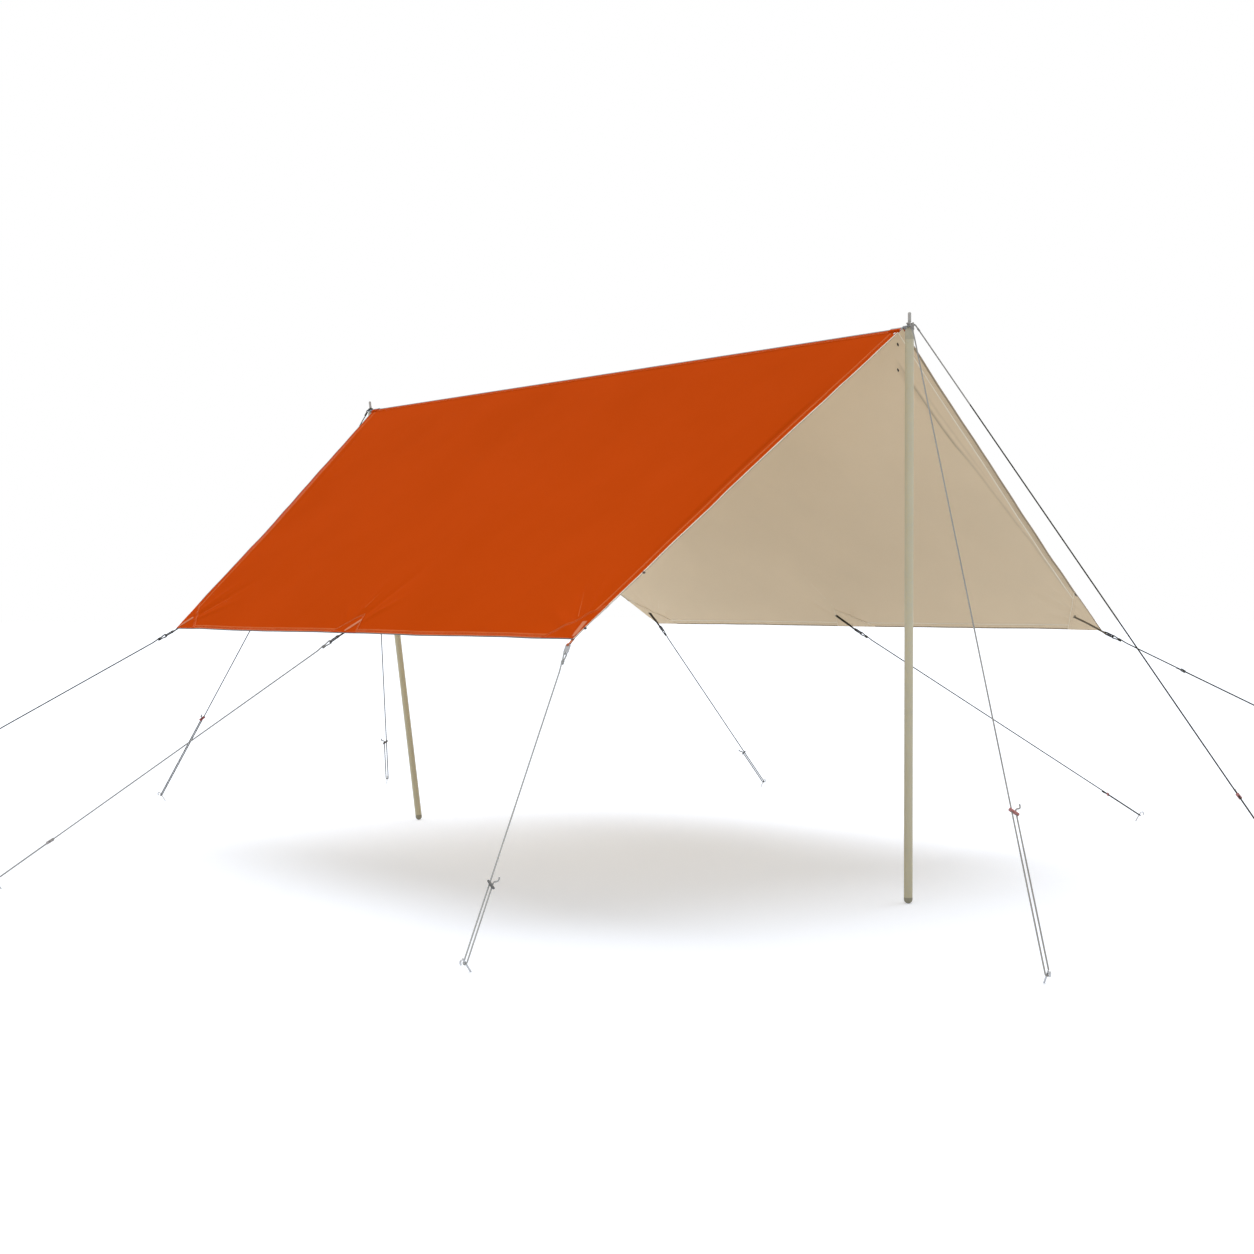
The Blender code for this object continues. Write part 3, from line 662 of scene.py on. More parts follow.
def round_bar(name: str, points: Sequence[Vector], radius: float, sides: int = 12,
              swell: Callable[[float], float] | None = None) -> tuple[Item, Path]:
    """A cord, wire or rod with rounded ends.

    Args:
        name: The piece's name.
        points: Its path.
        radius: Its radius.
        sides: Corners round it.
        swell: How much thicker it is at a share of its length.

    Returns:
        The piece and the centres of its rings.
    """
    path, sizes = round_end(points, radius)
    if swell:
        sizes = [s * swell(i / (len(path) - 1)) for i, s in enumerate(sizes)]
    skin = Skin()
    skin.tube(path, circle(radius, sides), scales=sizes)
    return skin.make(name, SOFT), path


# Finishes

class Wiring:
    """Lays out the nodes of one material or one shared effect."""

    def __init__(self, tree: Tree) -> None:
        self.tree = tree
        self.place = -1600.0

    def node(self, kind: str, *sources: object, **settings: object) -> Node:
        """Add a node.

        Args:
            kind: Its type.
            sources: A socket, a value or None for each of its first inputs.
            settings: Its own settings by name.

        Returns:
            The node.
        """
        made = self.tree.nodes.new(kind)
        made.location = (self.place, 0.0)
        self.place += 160.0
        for key, value in settings.items():
            setattr(made, key, value)
        for socket, source in zip(made.inputs, sources):
            self.feed(socket, source)
        return made

    def feed(self, socket: Socket, source: object) -> None:
        """Link a socket or set its value."""
        if source is None:
            return
        if isinstance(source, Socket):
            self.tree.links.new(source, socket)
        else:
            socket.default_value = source

    def math(self, operation: str, first: object, second: object = None) -> Socket:
        """One step of arithmetic."""
        return self.node("ShaderNodeMath", first, second, operation=operation).outputs[0]

    def group(self, tree: Tree, **values: object) -> Node:
        """Place a shared effect with its own values."""
        made = self.node("ShaderNodeGroup", node_tree=tree)
        for key, value in values.items():
            self.feed(made.inputs[key.replace("_", " ").title()], value)
        return made

    def mix(self, share: object, low: object, high: object) -> Socket:
        """Mix two colours."""
        made = self.node("ShaderNodeMix", data_type="RGBA")
        self.feed(made.inputs["Factor"], share)
        self.feed(made.inputs["A"], low)
        self.feed(made.inputs["B"], high)
        return made.outputs["Result"]

    def spread(self, value: object, low: float, high: float, first: float = 0.0,
               last: float = 1.0) -> Socket:
        """Stretch a value's range from low to high onto one from first to last."""
        return self.node("ShaderNodeMapRange", value, low, high, first, last).outputs[0]

    def cloud(self, pattern: object, scale: object, detail: float = 2.0,
              roughness: float = 0.5) -> Socket:
        """Noise over a pattern."""
        made = self.node("ShaderNodeTexNoise", pattern)
        for key, value in (("Scale", scale), ("Detail", detail), ("Roughness", roughness)):
            self.feed(made.inputs[key], value)
        return made.outputs["Fac"]

    def stretch(self, pattern: object, scale: tuple[float, float, float]) -> Socket:
        """A pattern scaled along its axes."""
        made = self.node("ShaderNodeMapping", pattern)
        made.inputs["Scale"].default_value = scale
        return made.outputs[0]

    def bump(self, strength: float, distance: float, height: object,
             under: object = None) -> Socket:
        """A normal raised by a height, over another normal if there is one."""
        made = self.node("ShaderNodeBump", strength)
        for key, value in (("Distance", distance), ("Height", height), ("Normal", under)):
            self.feed(made.inputs[key], value)
        return made.outputs[0]

    def strands(self, first: object, second: object) -> Socket:
        """Two sets of waves over each other, from 0 to 1."""
        waves = [self.math("SINE", value) for value in (first, second)]
        crossed = self.math("MULTIPLY", self.math("MULTIPLY", *waves), 0.5)
        return self.math("ADD", crossed, 0.5)


class Effects:
    """The effects that several finishes share, each built once."""

    def __init__(self) -> None:
        self.weave = self.effect("weave", {"Pattern": "Vector", "Threads": "Float"}, self.draw_weave)
        self.mottle = self.effect("mottle", {"Pattern": "Vector", "Size": "Float",
                                             "Contrast": "Float"}, self.draw_mottle)
        self.braid = self.effect("braid", {"Pattern": "Vector", "Round": "Float",
                                           "Length": "Float"}, self.draw_braid)
        self.worn = self.effect("worn", {"Pattern": "Vector", "Reach": "Float"}, self.draw_worn)

    @staticmethod
    def effect(name: str, inputs: dict[str, str],
               draw: Callable[[Wiring, Node], Socket]
               ) -> Tree:
        """Build one shared effect.

        Args:
            name: Its name.
            inputs: The kind of each input by name.
            draw: Lays its nodes and gives the socket of its one value.

        Returns:
            The group.
        """
        tree = bpy.data.node_groups.new(name, "ShaderNodeTree")
        for key, kind in inputs.items():
            tree.interface.new_socket(key, in_out="INPUT", socket_type=f"NodeSocket{kind}")
        tree.interface.new_socket("Amount", in_out="OUTPUT", socket_type="NodeSocketFloat")
        wiring = Wiring(tree)
        start = wiring.node("NodeGroupInput")
        value = draw(wiring, start)
        wiring.node("NodeGroupOutput", value)
        return tree

    @staticmethod
    def draw_weave(wiring: Wiring, start: Node) -> Socket:
        """Threads over and under, from a pattern in metres and threads to the metre."""
        apart = wiring.node("ShaderNodeSeparateXYZ", start.outputs["Pattern"])
        turns = wiring.math("MULTIPLY", start.outputs["Threads"], math.tau)
        return wiring.strands(*(
            wiring.math("MULTIPLY", apart.outputs[axis], turns) for axis in ("X", "Y")
        ))

    @staticmethod
    def draw_mottle(wiring: Wiring, start: Node) -> Socket:
        """Soft uneven patches."""
        cloud = wiring.cloud(start.outputs["Pattern"], start.outputs["Size"], 5.0, 0.55)
        return wiring.math("MULTIPLY", wiring.spread(cloud, 0.3, 0.7), start.outputs["Contrast"])

    @staticmethod
    def draw_braid(wiring: Wiring, start: Node) -> Socket:
        """Two sets of strands that wind against each other."""
        apart = wiring.node("ShaderNodeSeparateXYZ", start.outputs["Pattern"])
        across = wiring.math("MULTIPLY", apart.outputs["X"], start.outputs["Round"])
        along = wiring.math("MULTIPLY", apart.outputs["Y"], start.outputs["Length"])
        return wiring.strands(
            wiring.math("ADD", across, along), wiring.math("SUBTRACT", across, along)
        )

    @staticmethod
    def draw_worn(wiring: Wiring, start: Node) -> Socket:
        """Rubbed edges, broken up by noise."""
        shape = wiring.node("ShaderNodeNewGeometry")
        edge = wiring.spread(shape.outputs["Pointiness"], 0.5, 0.62)
        broken = wiring.spread(wiring.cloud(start.outputs["Pattern"], 90.0), 0.42, 0.6)
        both = wiring.math("MULTIPLY", edge, broken)
        return wiring.math("MULTIPLY", both, start.outputs["Reach"])


Colour = tuple[float, float, float]


def darker(colour: Colour, share: float) -> tuple[float, float, float, float]:
    """The same colour at a share of its brightness."""
    return (colour[0] * share, colour[1] * share, colour[2] * share, 1.0)


@dataclass(frozen=True)
class Finish:
    """A surface: its colour and how rough it is, with soft patches in both."""

    name: str
    colour: Colour
    roughness: float = 0.6
    metallic: float = 0.0
    specular: float = 0.5
    sheen: float = 0.0
    coat: float = 0.0
    patch_size: float = 6.0
    patch_depth: float = 0.12

    def make(self, effects: Effects) -> bpy.types.Material:
        """Build the material."""
        surface = bpy.data.materials.new(self.name)
        surface.use_nodes = True
        tree = surface.node_tree
        tree.nodes.clear()
        wiring = Wiring(tree)
        place = wiring.node("ShaderNodeTexCoord")
        patches = wiring.group(
            effects.mottle, pattern=place.outputs["Object"], size=self.patch_size, contrast=1.0
        ).outputs[0]
        colour = wiring.mix(
            patches, darker(self.colour, 1 - self.patch_depth),
            darker(self.colour, 1 + self.patch_depth * 0.6),
        )
        rough = wiring.spread(patches, 0.0, 1.0, min(self.roughness + 0.05, 1.0),
                              self.roughness - 0.05)
        shader = wiring.node("ShaderNodeBsdfPrincipled")
        values = {"Metallic": self.metallic, "Specular IOR Level": self.specular}
        if self.sheen:
            values |= {"Sheen Weight": self.sheen, "Sheen Roughness": 0.5}
        if self.coat:
            values |= {"Coat Weight": self.coat, "Coat Roughness": 0.25}
        colour, rough, normal = self.detail(wiring, place, effects, colour, rough)
        values |= {"Base Color": colour, "Roughness": rough, "Normal": normal}
        for key, value in values.items():
            wiring.feed(shader.inputs[key], value)
        wiring.node("ShaderNodeOutputMaterial", shader.outputs[0])
        return surface

    def detail(
        self, wiring: Wiring, place: Node, effects: Effects,
        colour: object, rough: object,
    ) -> tuple[object, object, object]:
        """The finish's own detail.

        Args:
            wiring: Where nodes are laid.
            place: The texture coordinates.
            effects: What the finishes share.
            colour: The colour so far.
            rough: The roughness so far.

        Returns:
            Colour, roughness and normal.
        """
        fine = wiring.cloud(place.outputs["Object"], 700.0)
        return colour, rough, wiring.bump(0.15, 0.0003, fine)


@dataclass(frozen=True)
class ClothFinish(Finish):
    """Woven cloth, with a pattern in metres in its UV map."""

    threads: float = 900.0
    relief: float = 0.0003
    pucker: float = 0.0016

    def detail(self, wiring: Wiring, place: Node, effects: Effects,
               colour: object, rough: object) -> tuple[object, object, object]:
        """Weave, soft puckers, a little thread to thread colour, and the painted shade and painted
        highlight that the long folds lay on the cloth.
        """
        weave = wiring.group(
            effects.weave, pattern=place.outputs["UV"], threads=self.threads
        ).outputs[0]
        deep = wiring.math("MULTIPLY", weave, 0.10)
        # The folds' attribute is painted shade: above 0 it darkens the cloth, below 0 it mixes in a
        # paler colour as a painted highlight.
        tone = wiring.node("ShaderNodeAttribute", attribute_name="tone").outputs["Fac"]
        for share in (deep, tone):
            colour = wiring.mix(share, colour, darker(self.colour, 0.55))
        painted_highlight_colour = tuple(0.90 * value + 0.075 for value in self.colour)
        colour = wiring.mix(wiring.math("MULTIPLY", tone, -1.0), colour, (*painted_highlight_colour, 1.0))
        soft = wiring.cloud(wiring.stretch(place.outputs["UV"], (1.0, 0.55, 1.0)), 14.0, 3.0)
        creased = wiring.bump(0.5, self.pucker, soft)
        return colour, rough, wiring.bump(0.35, self.relief, weave, creased)


@dataclass(frozen=True)
class WebbingFinish(Finish):
    """Ribbed webbing or tape, whose UV map runs across and along it in metres."""

    ribs: float = 520.0
    picks: float = 420.0

    def detail(self, wiring: Wiring, place: Node, effects: Effects,
               colour: object, rough: object) -> tuple[object, object, object]:
        """Ribs with darker furrows between them."""
        apart = wiring.stretch(place.outputs["UV"], (self.ribs, self.picks, 1.0))
        weave = wiring.group(effects.weave, pattern=apart, threads=1.0).outputs[0]
        colour = wiring.mix(wiring.math("MULTIPLY", weave, 0.45), colour,
                            darker(self.colour, 0.45))
        return colour, rough, wiring.bump(0.6, 0.0004, weave)


@dataclass(frozen=True)
class CordFinish(Finish):
    """Braided cord, whose UV map runs round and along it in metres."""

    fleck: Colour = (0.35, 0.34, 0.29)
    girth: float = math.tau * PLAN.cord

    def detail(self, wiring: Wiring, place: Node, effects: Effects,
               colour: object, rough: object) -> tuple[object, object, object]:
        """The braid, with a paler fleck on some of its strands."""
        braid, fleck = (
            wiring.group(effects.braid, pattern=place.outputs["UV"], length=math.tau * length,
                         round=strands * math.tau / self.girth).outputs[0]
            for strands, length in ((4, 260.0), (1, 65.0))
        )
        colour = wiring.mix(wiring.spread(fleck, 0.72, 0.9, 0.0, 0.7), colour,
                            (*self.fleck, 1.0))
        colour = wiring.mix(wiring.math("MULTIPLY", braid, 0.35), colour,
                            darker(self.colour, 0.5))
        return colour, rough, wiring.bump(0.7, 0.0004, braid)


@dataclass(frozen=True)
class HardFinish(Finish):
    """Paint, plastic or metal with fine streaks and rubbed edges."""

    rubbed: Colour = (0.55, 0.54, 0.50)
    wear: float = 0.5
    grain: tuple[float, float, float] = (60.0, 60.0, 4.0)
    scratch: float = 0.00012

    def detail(self, wiring: Wiring, place: Node, effects: Effects,
               colour: object, rough: object) -> tuple[object, object, object]:
        """Streaks along the piece, and edges that show what is under the surface."""
        worn = wiring.group(effects.worn, pattern=place.outputs["Object"],
                            reach=self.wear).outputs[0]
        colour = wiring.mix(worn, colour, (*self.rubbed, 1.0))
        streaks = wiring.cloud(wiring.stretch(place.outputs["Object"], self.grain), 6.0, 6.0)
        rough = wiring.math("ADD", rough, wiring.spread(streaks, 0.35, 0.65, -0.06, 0.06))
        return colour, rough, wiring.bump(0.4, self.scratch, streaks)


def trimming(name: str, colour: Colour, roughness: float, patch_depth: float) -> ClothFinish:
    """The finish of a welt or a binding."""
    return ClothFinish(name, colour, roughness, specular=0.10, patch_size=9.0,
                       patch_depth=patch_depth)


ORANGE: Colour = (0.552, 0.061, 0.001)
CREAM: Colour = (0.905, 0.728, 0.495)

FINISHES: tuple[Finish, ...] = (
    ClothFinish("orange_cloth", ORANGE, 0.85, specular=0.01, patch_size=1.3, patch_depth=0.05),
    ClothFinish("cream_cloth", CREAM, 0.85, specular=0.10, patch_size=1.1, patch_depth=0.05),
    # Paler orange along welts, crease ridges and piping: partly worn cloth, partly a painted
    # highlight on their ridges.
    trimming("orange_seam", (0.680, 0.150, 0.032), 0.80, 0.12),
    WebbingFinish("orange_web", (0.720, 0.230, 0.105), 0.75, specular=0.15, patch_size=14.0),
    # Paler cream along welts, crease ridges and piping: a painted highlight on their ridges.
    trimming("cream_seam", (1.000, 0.900, 0.720), 0.85, 0.04),
    trimming("pale_binding", (0.880, 0.780, 0.620), 0.80, 0.08),
    # Dark grey and brown bindings: painted shade along the underside of the bound edges.
    trimming("slate_binding", (0.230, 0.215, 0.205), 0.80, 0.10),
    trimming("brown_binding", (0.440, 0.340, 0.230), 0.80, 0.10),
    Finish("orange_thread", (0.720, 0.235, 0.070), 0.6, sheen=0.2),
    Finish("cream_thread", (0.560, 0.450, 0.310), 0.6, sheen=0.2),
    Finish("dark_thread", (0.045, 0.038, 0.025), 0.6, sheen=0.2),
    WebbingFinish("ridge_tape", (0.300, 0.300, 0.310), 0.75, specular=0.15),
    WebbingFinish("pale_tongue", (0.500, 0.505, 0.500), 0.70, specular=0.2),
    WebbingFinish("slate_tongue", (0.200, 0.225, 0.260), 0.70, specular=0.2),
    WebbingFinish("tan_web", (0.205, 0.165, 0.105), 0.75, specular=0.15),
    WebbingFinish("olive_web", (0.046, 0.034, 0.016), 0.85, specular=0.15),
    CordFinish("cord_dark", (0.060, 0.060, 0.048), 0.85, specular=0.12,
               fleck=(0.12, 0.12, 0.10)),
    CordFinish("cord_middle", (0.420, 0.405, 0.375), 0.85, specular=0.12,
               fleck=(0.58, 0.56, 0.52)),
    CordFinish("cord_pale", (0.560, 0.560, 0.530), 0.85, specular=0.12,
               fleck=(0.75, 0.75, 0.72)),
    HardFinish("eyelet_metal", (0.620, 0.630, 0.640), 0.33, 0.9, wear=0.3),
    HardFinish("dark_link", (0.026, 0.026, 0.028), 0.55, specular=0.3, wear=0.35,
               rubbed=(0.20, 0.20, 0.21)),
    HardFinish("pale_link", (0.470, 0.475, 0.480), 0.45, 0.2, wear=0.4),
    HardFinish("peg_steel", (0.500, 0.505, 0.515), 0.30, 1.0, wear=0.2),
    HardFinish("pole_paint", (0.640, 0.573, 0.378), 0.42, coat=0.15, wear=0.45,
               patch_size=3.0, patch_depth=0.05),
    HardFinish("pole_cap", (0.500, 0.455, 0.320), 0.50, wear=0.2, patch_size=20.0),
    HardFinish("spike_plastic", (0.500, 0.480, 0.440), 0.50, wear=0.2, patch_size=20.0),
    HardFinish("pole_foot", (0.380, 0.350, 0.250), 0.62, wear=0.2, rubbed=(0.25, 0.24, 0.21),
               patch_size=20.0),
    HardFinish("slider_red", (0.330, 0.022, 0.020), 0.36, wear=0.4, rubbed=(0.5, 0.12, 0.10)),
    HardFinish("slider_dull_red", (0.420, 0.150, 0.135), 0.42, wear=0.4,
               rubbed=(0.55, 0.3, 0.28)),
    HardFinish("slider_brown", (0.060, 0.040, 0.026), 0.45, wear=0.3, rubbed=(0.2, 0.16, 0.12)),
    HardFinish("slider_grey", (0.120, 0.122, 0.120), 0.42, wear=0.3, rubbed=(0.3, 0.3, 0.3)),
    HardFinish("slider_pale", (0.480, 0.440, 0.430), 0.45, wear=0.3),
    HardFinish("white_plastic", (0.780, 0.775, 0.760), 0.40, wear=0.1),
    Finish("slot_shadow", (0.020, 0.017, 0.012), 0.9),
)


class Wardrobe:
    """All the finishes, made once."""

    def __init__(self) -> None:
        effects = Effects()
        self.surfaces = {finish.name: finish.make(effects) for finish in FINISHES}

    def fit(
        self, item: Item, *finishes: str, body: str = "canopy",
        slot: str | None = None, nodes: Iterable[str] = (),
    ) -> Item:
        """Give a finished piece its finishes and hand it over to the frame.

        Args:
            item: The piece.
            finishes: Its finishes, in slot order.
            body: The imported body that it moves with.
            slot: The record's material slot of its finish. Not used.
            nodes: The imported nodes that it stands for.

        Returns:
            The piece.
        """
        for name in finishes:
            item.data.materials.append(self.surfaces[name])
        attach(item, body)
        for node in nodes:
            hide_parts(node)
        LOG.info("piece %s: %d faces", item.name, len(item.data.polygons))
        return item


# The studio

@dataclass(frozen=True)
class Studio:
    """The camera, a pale floor and soft light."""

    place: tuple[float, float, float] = (-4.973, -6.260, 1.106)
    yaw: float = math.radians(39.58)
    pitch: float = math.radians(-0.84)
    sensor: float = 36.0
    lens: float = 1800.0 / 1254.0 * sensor
    floor_size: float = 160.0
    floor_colour: tuple[float, float, float, float] = (0.742, 0.785, 0.865, 1.0)
    floor_lift: float = 0.34
    sky: float = 0.47
    lamp: float = 2.32
    lamp_spread: float = math.radians(72.0)
    lamp_tilt: tuple[float, float] = (math.radians(-13.0), math.radians(11.0))

    def build(self) -> None:
        """Make all of it."""
        self.camera()
        self.floor()
        self.world()
        light = bpy.data.lights.new("soft_lamp", "SUN")
        light.energy = self.lamp
        light.angle = self.lamp_spread
        lamp = bpy.data.objects.new("soft_lamp", light)
        bpy.context.scene.collection.objects.link(lamp)
        lamp.rotation_euler = (*self.lamp_tilt, 0.0)
        bpy.context.scene.view_settings.view_transform = "Standard"

    def camera(self) -> None:
        """The photograph's view."""
        data = bpy.data.cameras.new("camera")
        data.sensor_width = self.sensor
        data.lens = self.lens
        data.clip_end = 300.0
        item = bpy.data.objects.new("camera", data)
        bpy.context.scene.collection.objects.link(item)
        ahead = Vector((
            math.sin(self.yaw) * math.cos(self.pitch),
            math.cos(self.yaw) * math.cos(self.pitch),
            math.sin(self.pitch),
        ))
        item.location = self.place
        item.rotation_mode = "QUATERNION"
        item.rotation_quaternion = ahead.to_track_quat("-Z", "Y")
        bpy.context.scene.camera = item

    def floor(self) -> None:
        """A floor that looks white and keeps the object's shadow."""
        deselect()
        bpy.ops.mesh.primitive_plane_add(size=self.floor_size)
        item = just_made("floor")
        surface = bpy.data.materials.new("floor")
        surface.use_nodes = True
        surface.node_tree.nodes.clear()
        wiring = Wiring(surface.node_tree)
        ray = wiring.node("ShaderNodeLightPath")
        plain = wiring.node("ShaderNodeBsdfDiffuse", self.floor_colour)
        glow = wiring.node("ShaderNodeEmission", (1.0, 1.0, 1.0, 1.0))
        seen = wiring.math("MAXIMUM", ray.outputs["Is Camera Ray"], ray.outputs["Is Glossy Ray"])
        wiring.feed(glow.inputs["Strength"], wiring.math("MULTIPLY", seen, self.floor_lift))
        both = wiring.node("ShaderNodeAddShader", plain.outputs[0], glow.outputs[0])
        wiring.node("ShaderNodeOutputMaterial", both.outputs[0])
        item.data.materials.append(surface)
        item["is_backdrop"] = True

    def world(self) -> None:
        """Plain light all round, seen as white."""
        world = bpy.data.worlds.new("studio")
        bpy.context.scene.world = world
        world.use_nodes = True
        world.node_tree.nodes.clear()
        wiring = Wiring(world.node_tree)
        ray = wiring.node("ShaderNodeLightPath")
        direct = wiring.math("MAXIMUM", ray.outputs["Is Camera Ray"], ray.outputs["Is Glossy Ray"])
        seen = wiring.math("MAXIMUM", direct, ray.outputs["Is Transmission Ray"])
        light = wiring.node("ShaderNodeBackground", (1.0, 1.0, 1.0, 1.0), self.sky)
        white = wiring.node("ShaderNodeBackground", (1.0, 1.0, 1.0, 1.0), 1.0)
        both = wiring.node("ShaderNodeMixShader", seen, light.outputs[0], white.outputs[0])
        wiring.node("ShaderNodeOutputWorld", both.outputs[0])


# Cloth

@dataclass(frozen=True)
class Tension:
    """The creases round one tab.

    Broad ones have an angle from straight inwards, a length and a height, and sharp ones an
    angle and a length.
    """

    place: float
    broad: tuple[tuple[float, float, float], ...]
    sharp: tuple[tuple[float, float], ...]


TENSIONS: dict[Side, tuple[Tension, ...]] = {
    Side.LEFT: (
        Tension(0.0, ((-16.0, 0.46, 0.0045), (4.0, 0.62, -0.0040), (24.0, 0.40, 0.0035)),
                ((3.0, 0.33),)),
        Tension(0.5, ((-38.0, 0.34, 0.0040), (-10.0, 0.52, -0.0045), (14.0, 0.44, 0.0042),
                      (44.0, 0.30, 0.0034)), ((9.0, 0.27),)),
        Tension(1.0, ((-20.0, 0.42, 0.0042), (0.0, 0.58, -0.0040), (18.0, 0.42, 0.0040)),
                ((-6.0, 0.30),)),
    ),
    Side.RIGHT: (
        Tension(0.0, ((-18.0, 0.44, 0.0042), (6.0, 0.60, -0.0038), (26.0, 0.36, 0.0034)),
                ((-6.0, 0.28),)),
        Tension(0.5, ((-34.0, 0.36, 0.0040), (0.0, 0.54, -0.0042), (32.0, 0.36, 0.0038)),
                ((1.0, 0.34),)),
        Tension(1.0, ((-22.0, 0.40, 0.0040), (2.0, 0.56, -0.0040), (24.0, 0.38, 0.0036)),
                ((-8.0, 0.28),)),
    ),
}


@dataclass(frozen=True)
class Fold:
    """A long fold beside a gable edge: distances down, insets and strengths along it. Its fourth
    number darkens the cloth along the fold as painted shade, and a number below 0 lightens it as a
    painted highlight.
    """

    points: tuple[tuple[float, float, float], ...]
    height: float
    width: float
    tone: float
    back: bool = False


# Each fold's fourth number is painted shade on the cloth along it; the one below 0 is a painted
# highlight.
FOLDS: dict[Side, tuple[Fold, ...]] = {
    Side.LEFT: (
        Fold(((0.30, 0.060, 0.0), (0.60, 0.066, 1.0), (1.10, 0.060, 0.8), (1.50, 0.050, 0.0)),
             -0.0040, 0.013, 0.30),
        Fold(((0.08, 0.070, 0.0), (0.35, 0.080, 1.0), (0.90, 0.072, 0.6), (1.40, 0.058, 0.0)),
             -0.0030, 0.014, 0.08, True),
        Fold(((0.10, 0.022, 0.0), (0.30, 0.024, 0.6), (0.80, 0.025, 1.0), (1.15, 0.023, 0.9),
              (1.42, 0.012, 0.0)), 0.0015, 0.0105, -0.80, True),
    ),
    Side.RIGHT: (
        Fold(((0.14, 0.116, 0.0), (0.25, 0.114, 1.0), (0.51, 0.109, 1.0), (0.62, 0.102, 1.0),
              (0.74, 0.086, 0.5), (1.23, 0.043, 0.4), (1.50, 0.036, 0.35), (1.53, 0.036, 0.0)),
             -0.0045, 0.0058, 0.85),
        Fold(((0.22, 0.090, 0.0), (0.45, 0.084, 0.6), (0.70, 0.070, 0.5), (0.95, 0.052, 0.0)),
             0.0030, 0.0065, 0.40),
        Fold(((0.10, 0.016, 0.0), (0.40, 0.017, 0.5), (0.75, 0.017, 1.0), (1.15, 0.017, 1.0),
              (1.50, 0.014, 0.8), (1.54, 0.013, 0.0)),
             0.0030, 0.0095, 0.50),
        Fold(((0.10, 0.090, 0.0), (0.50, 0.100, 1.0), (1.00, 0.074, 0.7), (1.50, 0.050, 0.0)),
             -0.0050, 0.014, 0.40, True),
    ),
}


@dataclass(frozen=True)
class Drape:
    """The cloth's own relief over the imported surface: its reaches and heights in metres."""

    corner_lean: float = 0.62
    crease_reach: float = 0.75
    crease_turn: float = 1.2
    crease_start: tuple[float, float] = (0.05, 0.16)
    full_share: float = 0.45
    widening: float = 3.5
    broad_width: float = 0.012
    sharp_height: float = 0.0026
    sharp_width: float = 0.004
    ridge_calm: tuple[float, float] = (0.02, 0.22)
    tab_calm: tuple[float, float] = (0.05, 0.25)
    broad_wave: float = 0.0045
    fine_wave: float = 0.0014
    flutter: float = 0.0020
    loose_edge: float = 0.07
    line_start: float = 0.15
    line_steps: int = 30


DRAPE = Drape()


